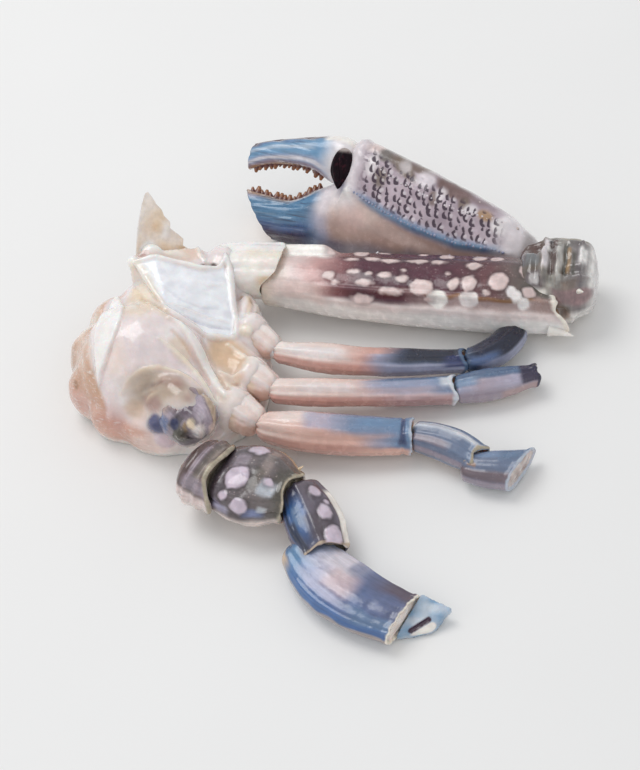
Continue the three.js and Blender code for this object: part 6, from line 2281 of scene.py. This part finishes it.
# Rows of granules on the palm: their first and last place along it and their gap, how far they stray across it, how
# far out they stand, their least and greatest size and their hue. The arm has one row more, at an angle round it.
GRANULE_ROWS = [
    ((6, 50, 0.95), 0.12, 0.55, (0.6, 1.0), "steel 40 lilac"), ((8, 46, 1.25), 0.2, 0.3, (0.5, 0.9), "lilac 40 white"),
    ((4, 48, 1.1), 0.1, 0.15, (0.6, 1.0), "lilac 50 cream"),
]
ARM_ROW = ((22, 72, 1.2), 0.8, 0.2, (0.45, 0.8), "fleck 40 maroon")
ARM_ROW_ANGLE = 32
BEAD_HEIGHT = 0.8  # how flat the granules are


def make_granules():
    """The granules along the palm's ridges and upper edge and along the arm's ridge."""
    rng = seeded(4)
    form, arm = hand_form(), form_of("arm_merus")
    heights = (
        lambda along: np.interp(along, RIDGE_ALONG, RIDGE_UP) - 0.3,
        lambda along: np.interp(along, RIDGE_ALONG, RIDGE_UP) + UPPER_RIDGE + 0.06 * along,
        lambda along: form.edges(along - form.first)[0] - 0.7,
    )
    rows = []

    def add_row(run, at, facing, out, reach, text):
        large = 2 * size("granule") * rng.uniform(*reach, len(run))
        rows.append((at + facing * out, facing, large, np.broadcast_to(hue(text), at.shape)))

    for height, (stretch, stray, *rest) in zip(heights, GRANULE_ROWS):
        run = np.arange(*stretch)
        add_row(run, *on_face(form, run, height(run) + rng.normal(0, stray, len(run))), *rest)
    stretch, stray, *rest = ARM_ROW
    run = np.arange(*stretch)
    at = arm(run, (ARM_ROW_ANGLE + rng.normal(0, stray, len(run))) / DEGREES)
    add_row(run, at, unit(at - arm.centre(run)), *rest)
    points, facings, sizes, tints = (np.concatenate(kind) for kind in zip(*rows))
    finish = shell_finish("granule_shell", mottle=0.2, soft=0.1, dull=0.18, coat=0.6, grains=0.1)
    mesh = grown("ridge_granules", "bead", points, facings, sizes, finish, "lilac_claw_shell", BEAD_HEIGHT,
                 bpy.context.scene.crab_sizes.seed)
    give(mesh, "tint", np.repeat(tints, len(mesh.vertices) // len(points), axis=0))
    give(mesh, "spot", np.full(len(mesh.vertices), FAR))


# ---- the stage ----

EYE = (114, -320, 374)  # where the camera stands, in planned millimetres
AIM = (1, -1, 9)  # what it looks at
UPRIGHT = (0, math.sin(math.radians(37.5)), math.cos(math.radians(37.5)))  # which way is up in the view
FLOOR_HALF = 3.0  # the floor's half width, in metres
FLOOR_GAP = 0.02 * MM  # how far the floor lies below the solids
LIGHTS = [
    ("key_light", (-0.38, 0.30, 0.85), 1.0, 0.55), ("fill_light", (0.55, -0.75, 0.6), 1.0, 0.9),
    ("side_light", (-0.8, -0.5, 0.45), 0.7, 0.6),
]  # where each stands in metres, its share of the key or the fill power, and how wide it is
ROOM_LIGHT = ((0.93, 0.96, 1.0, 1), 0.7)  # its colour and strength


def make_stage():
    """A plain pale floor, a large soft light above, two weaker ones from the front, and the camera."""
    scene = bpy.context.scene
    settings = scene.crab_stage
    low, _ = CAD_BOX
    floor = bpy.data.meshes.new("floor")
    ways = ((-1, -1), (1, -1), (1, 1), (-1, 1))
    floor.from_pydata([(x * FLOOR_HALF, y * FLOOR_HALF, low.z - FLOOR_GAP) for x, y in ways], [], [(0, 1, 2, 3)])
    ground = linked("floor", floor)
    finish = Finish("pale_floor", Roughness=0.6)
    pale = np.array(settings.floor)
    finish.set(Base_Color=finish.mixed(finish.noise(60, 2), pale, 0.97 * pale))
    floor.materials.append(finish.material)
    for name, at, power, wide in LIGHTS:
        lamp = bpy.data.lights.new(name, "AREA")
        lamp.energy = power * (settings.key if name == "key_light" else settings.fill)
        lamp.size = wide
        holder = linked(name, lamp)
        holder.location = at
        holder.rotation_euler = (-Vector(at)).to_track_quat("-Z", "Y").to_euler()
    world = bpy.data.worlds.new("soft_room")
    world.use_nodes = True
    for socket, value in zip(world.node_tree.nodes["Background"].inputs, ROOM_LIGHT):
        socket.default_value = value
    scene.world = world
    scene.view_settings.view_transform = "Standard"
    camera = bpy.data.cameras.new("camera")
    camera.lens = settings.lens
    camera.dof.use_dof = False
    holder = linked("camera", camera)
    eye = Vector((np.array(EYE) + SHIFT) * MM)
    aim = Vector((np.array(AIM) + SHIFT) * MM)
    back = (eye - aim).normalized()
    right = Vector(UPRIGHT).cross(back).normalized()
    turn = Matrix((right, back.cross(right), back)).transposed().to_4x4()
    turn.translation = eye
    holder.matrix_world = turn
    scene.camera = holder


# ---- operators, panel and registration ----


class CRAB_OT_arm(bpy.types.Operator):
    """Make the arm"""

    bl_idname = "crab.arm"
    bl_label = "Arm"

    def execute(self, context):
        make_arm()
        return {"FINISHED"}


class CRAB_OT_claw(bpy.types.Operator):
    """Make the claw's palm, fingers and hinge skin"""

    bl_idname = "crab.claw"
    bl_label = "Claw"

    def execute(self, context):
        make_claw()
        return {"FINISHED"}


class CRAB_OT_walking_legs(bpy.types.Operator):
    """Make the three walking legs"""

    bl_idname = "crab.walking_legs"
    bl_label = "Walking legs"

    def execute(self, context):
        make_walking_legs()
        return {"FINISHED"}


class CRAB_OT_swimming_leg(bpy.types.Operator):
    """Make the swimming leg and what is left of its paddle"""

    bl_idname = "crab.swimming_leg"
    bl_label = "Swimming leg"

    def execute(self, context):
        make_swimming_leg()
        return {"FINISHED"}


class CRAB_OT_thorax(bpy.types.Operator):
    """Make the split thorax and its torn flap"""

    bl_idname = "crab.thorax"
    bl_label = "Split thorax"

    def execute(self, context):
        make_thorax()
        return {"FINISHED"}


class CRAB_OT_teeth(bpy.types.Operator):
    """Set the teeth along the fingers"""

    bl_idname = "crab.teeth"
    bl_label = "Teeth"

    def execute(self, context):
        make_teeth()
        return {"FINISHED"}


class CRAB_OT_granules(bpy.types.Operator):
    """Set the granules along the ridges of claw and arm"""

    bl_idname = "crab.granules"
    bl_label = "Ridge granules"

    def execute(self, context):
        make_granules()
        return {"FINISHED"}


class CRAB_OT_stage(bpy.types.Operator):
    """Make the floor, the lights and the camera"""

    bl_idname = "crab.stage"
    bl_label = "Stage"

    def execute(self, context):
        make_stage()
        return {"FINISHED"}


OPERATORS = (
    CRAB_OT_arm, CRAB_OT_claw, CRAB_OT_walking_legs, CRAB_OT_swimming_leg, CRAB_OT_thorax, CRAB_OT_teeth,
    CRAB_OT_granules, CRAB_OT_stage,
)


class CRAB_PT_panel(bpy.types.Panel):
    """The crab half's parts, sizes and colours"""

    bl_label = "Blue crab half"
    bl_space_type = "VIEW_3D"
    bl_region_type = "UI"
    bl_category = "Crab"

    def draw(self, context):
        layout = self.layout
        for operator in OPERATORS:
            layout.operator(operator.bl_idname)
        for group in (context.scene.crab_sizes, context.scene.crab_colours, context.scene.crab_stage):
            box = layout.box()
            for key in group.__annotations__:
                box.prop(group, key)


CLASSES = (CrabColours, CrabSizes, StageSettings, *OPERATORS, CRAB_PT_panel)


def register():
    for kind in CLASSES:
        bpy.utils.register_class(kind)
    bpy.types.Scene.crab_colours = PointerProperty(type=CrabColours)
    bpy.types.Scene.crab_sizes = PointerProperty(type=CrabSizes)
    bpy.types.Scene.crab_stage = PointerProperty(type=StageSettings)


def unregister():
    del bpy.types.Scene.crab_stage
    del bpy.types.Scene.crab_sizes
    del bpy.types.Scene.crab_colours
    for kind in reversed(CLASSES):
        bpy.utils.unregister_class(kind)


def main():
    register()
    for operator in OPERATORS:
        group, name = operator.bl_idname.split(".")
        getattr(getattr(bpy.ops, group), name)()


if __name__ == "__main__":
    main()
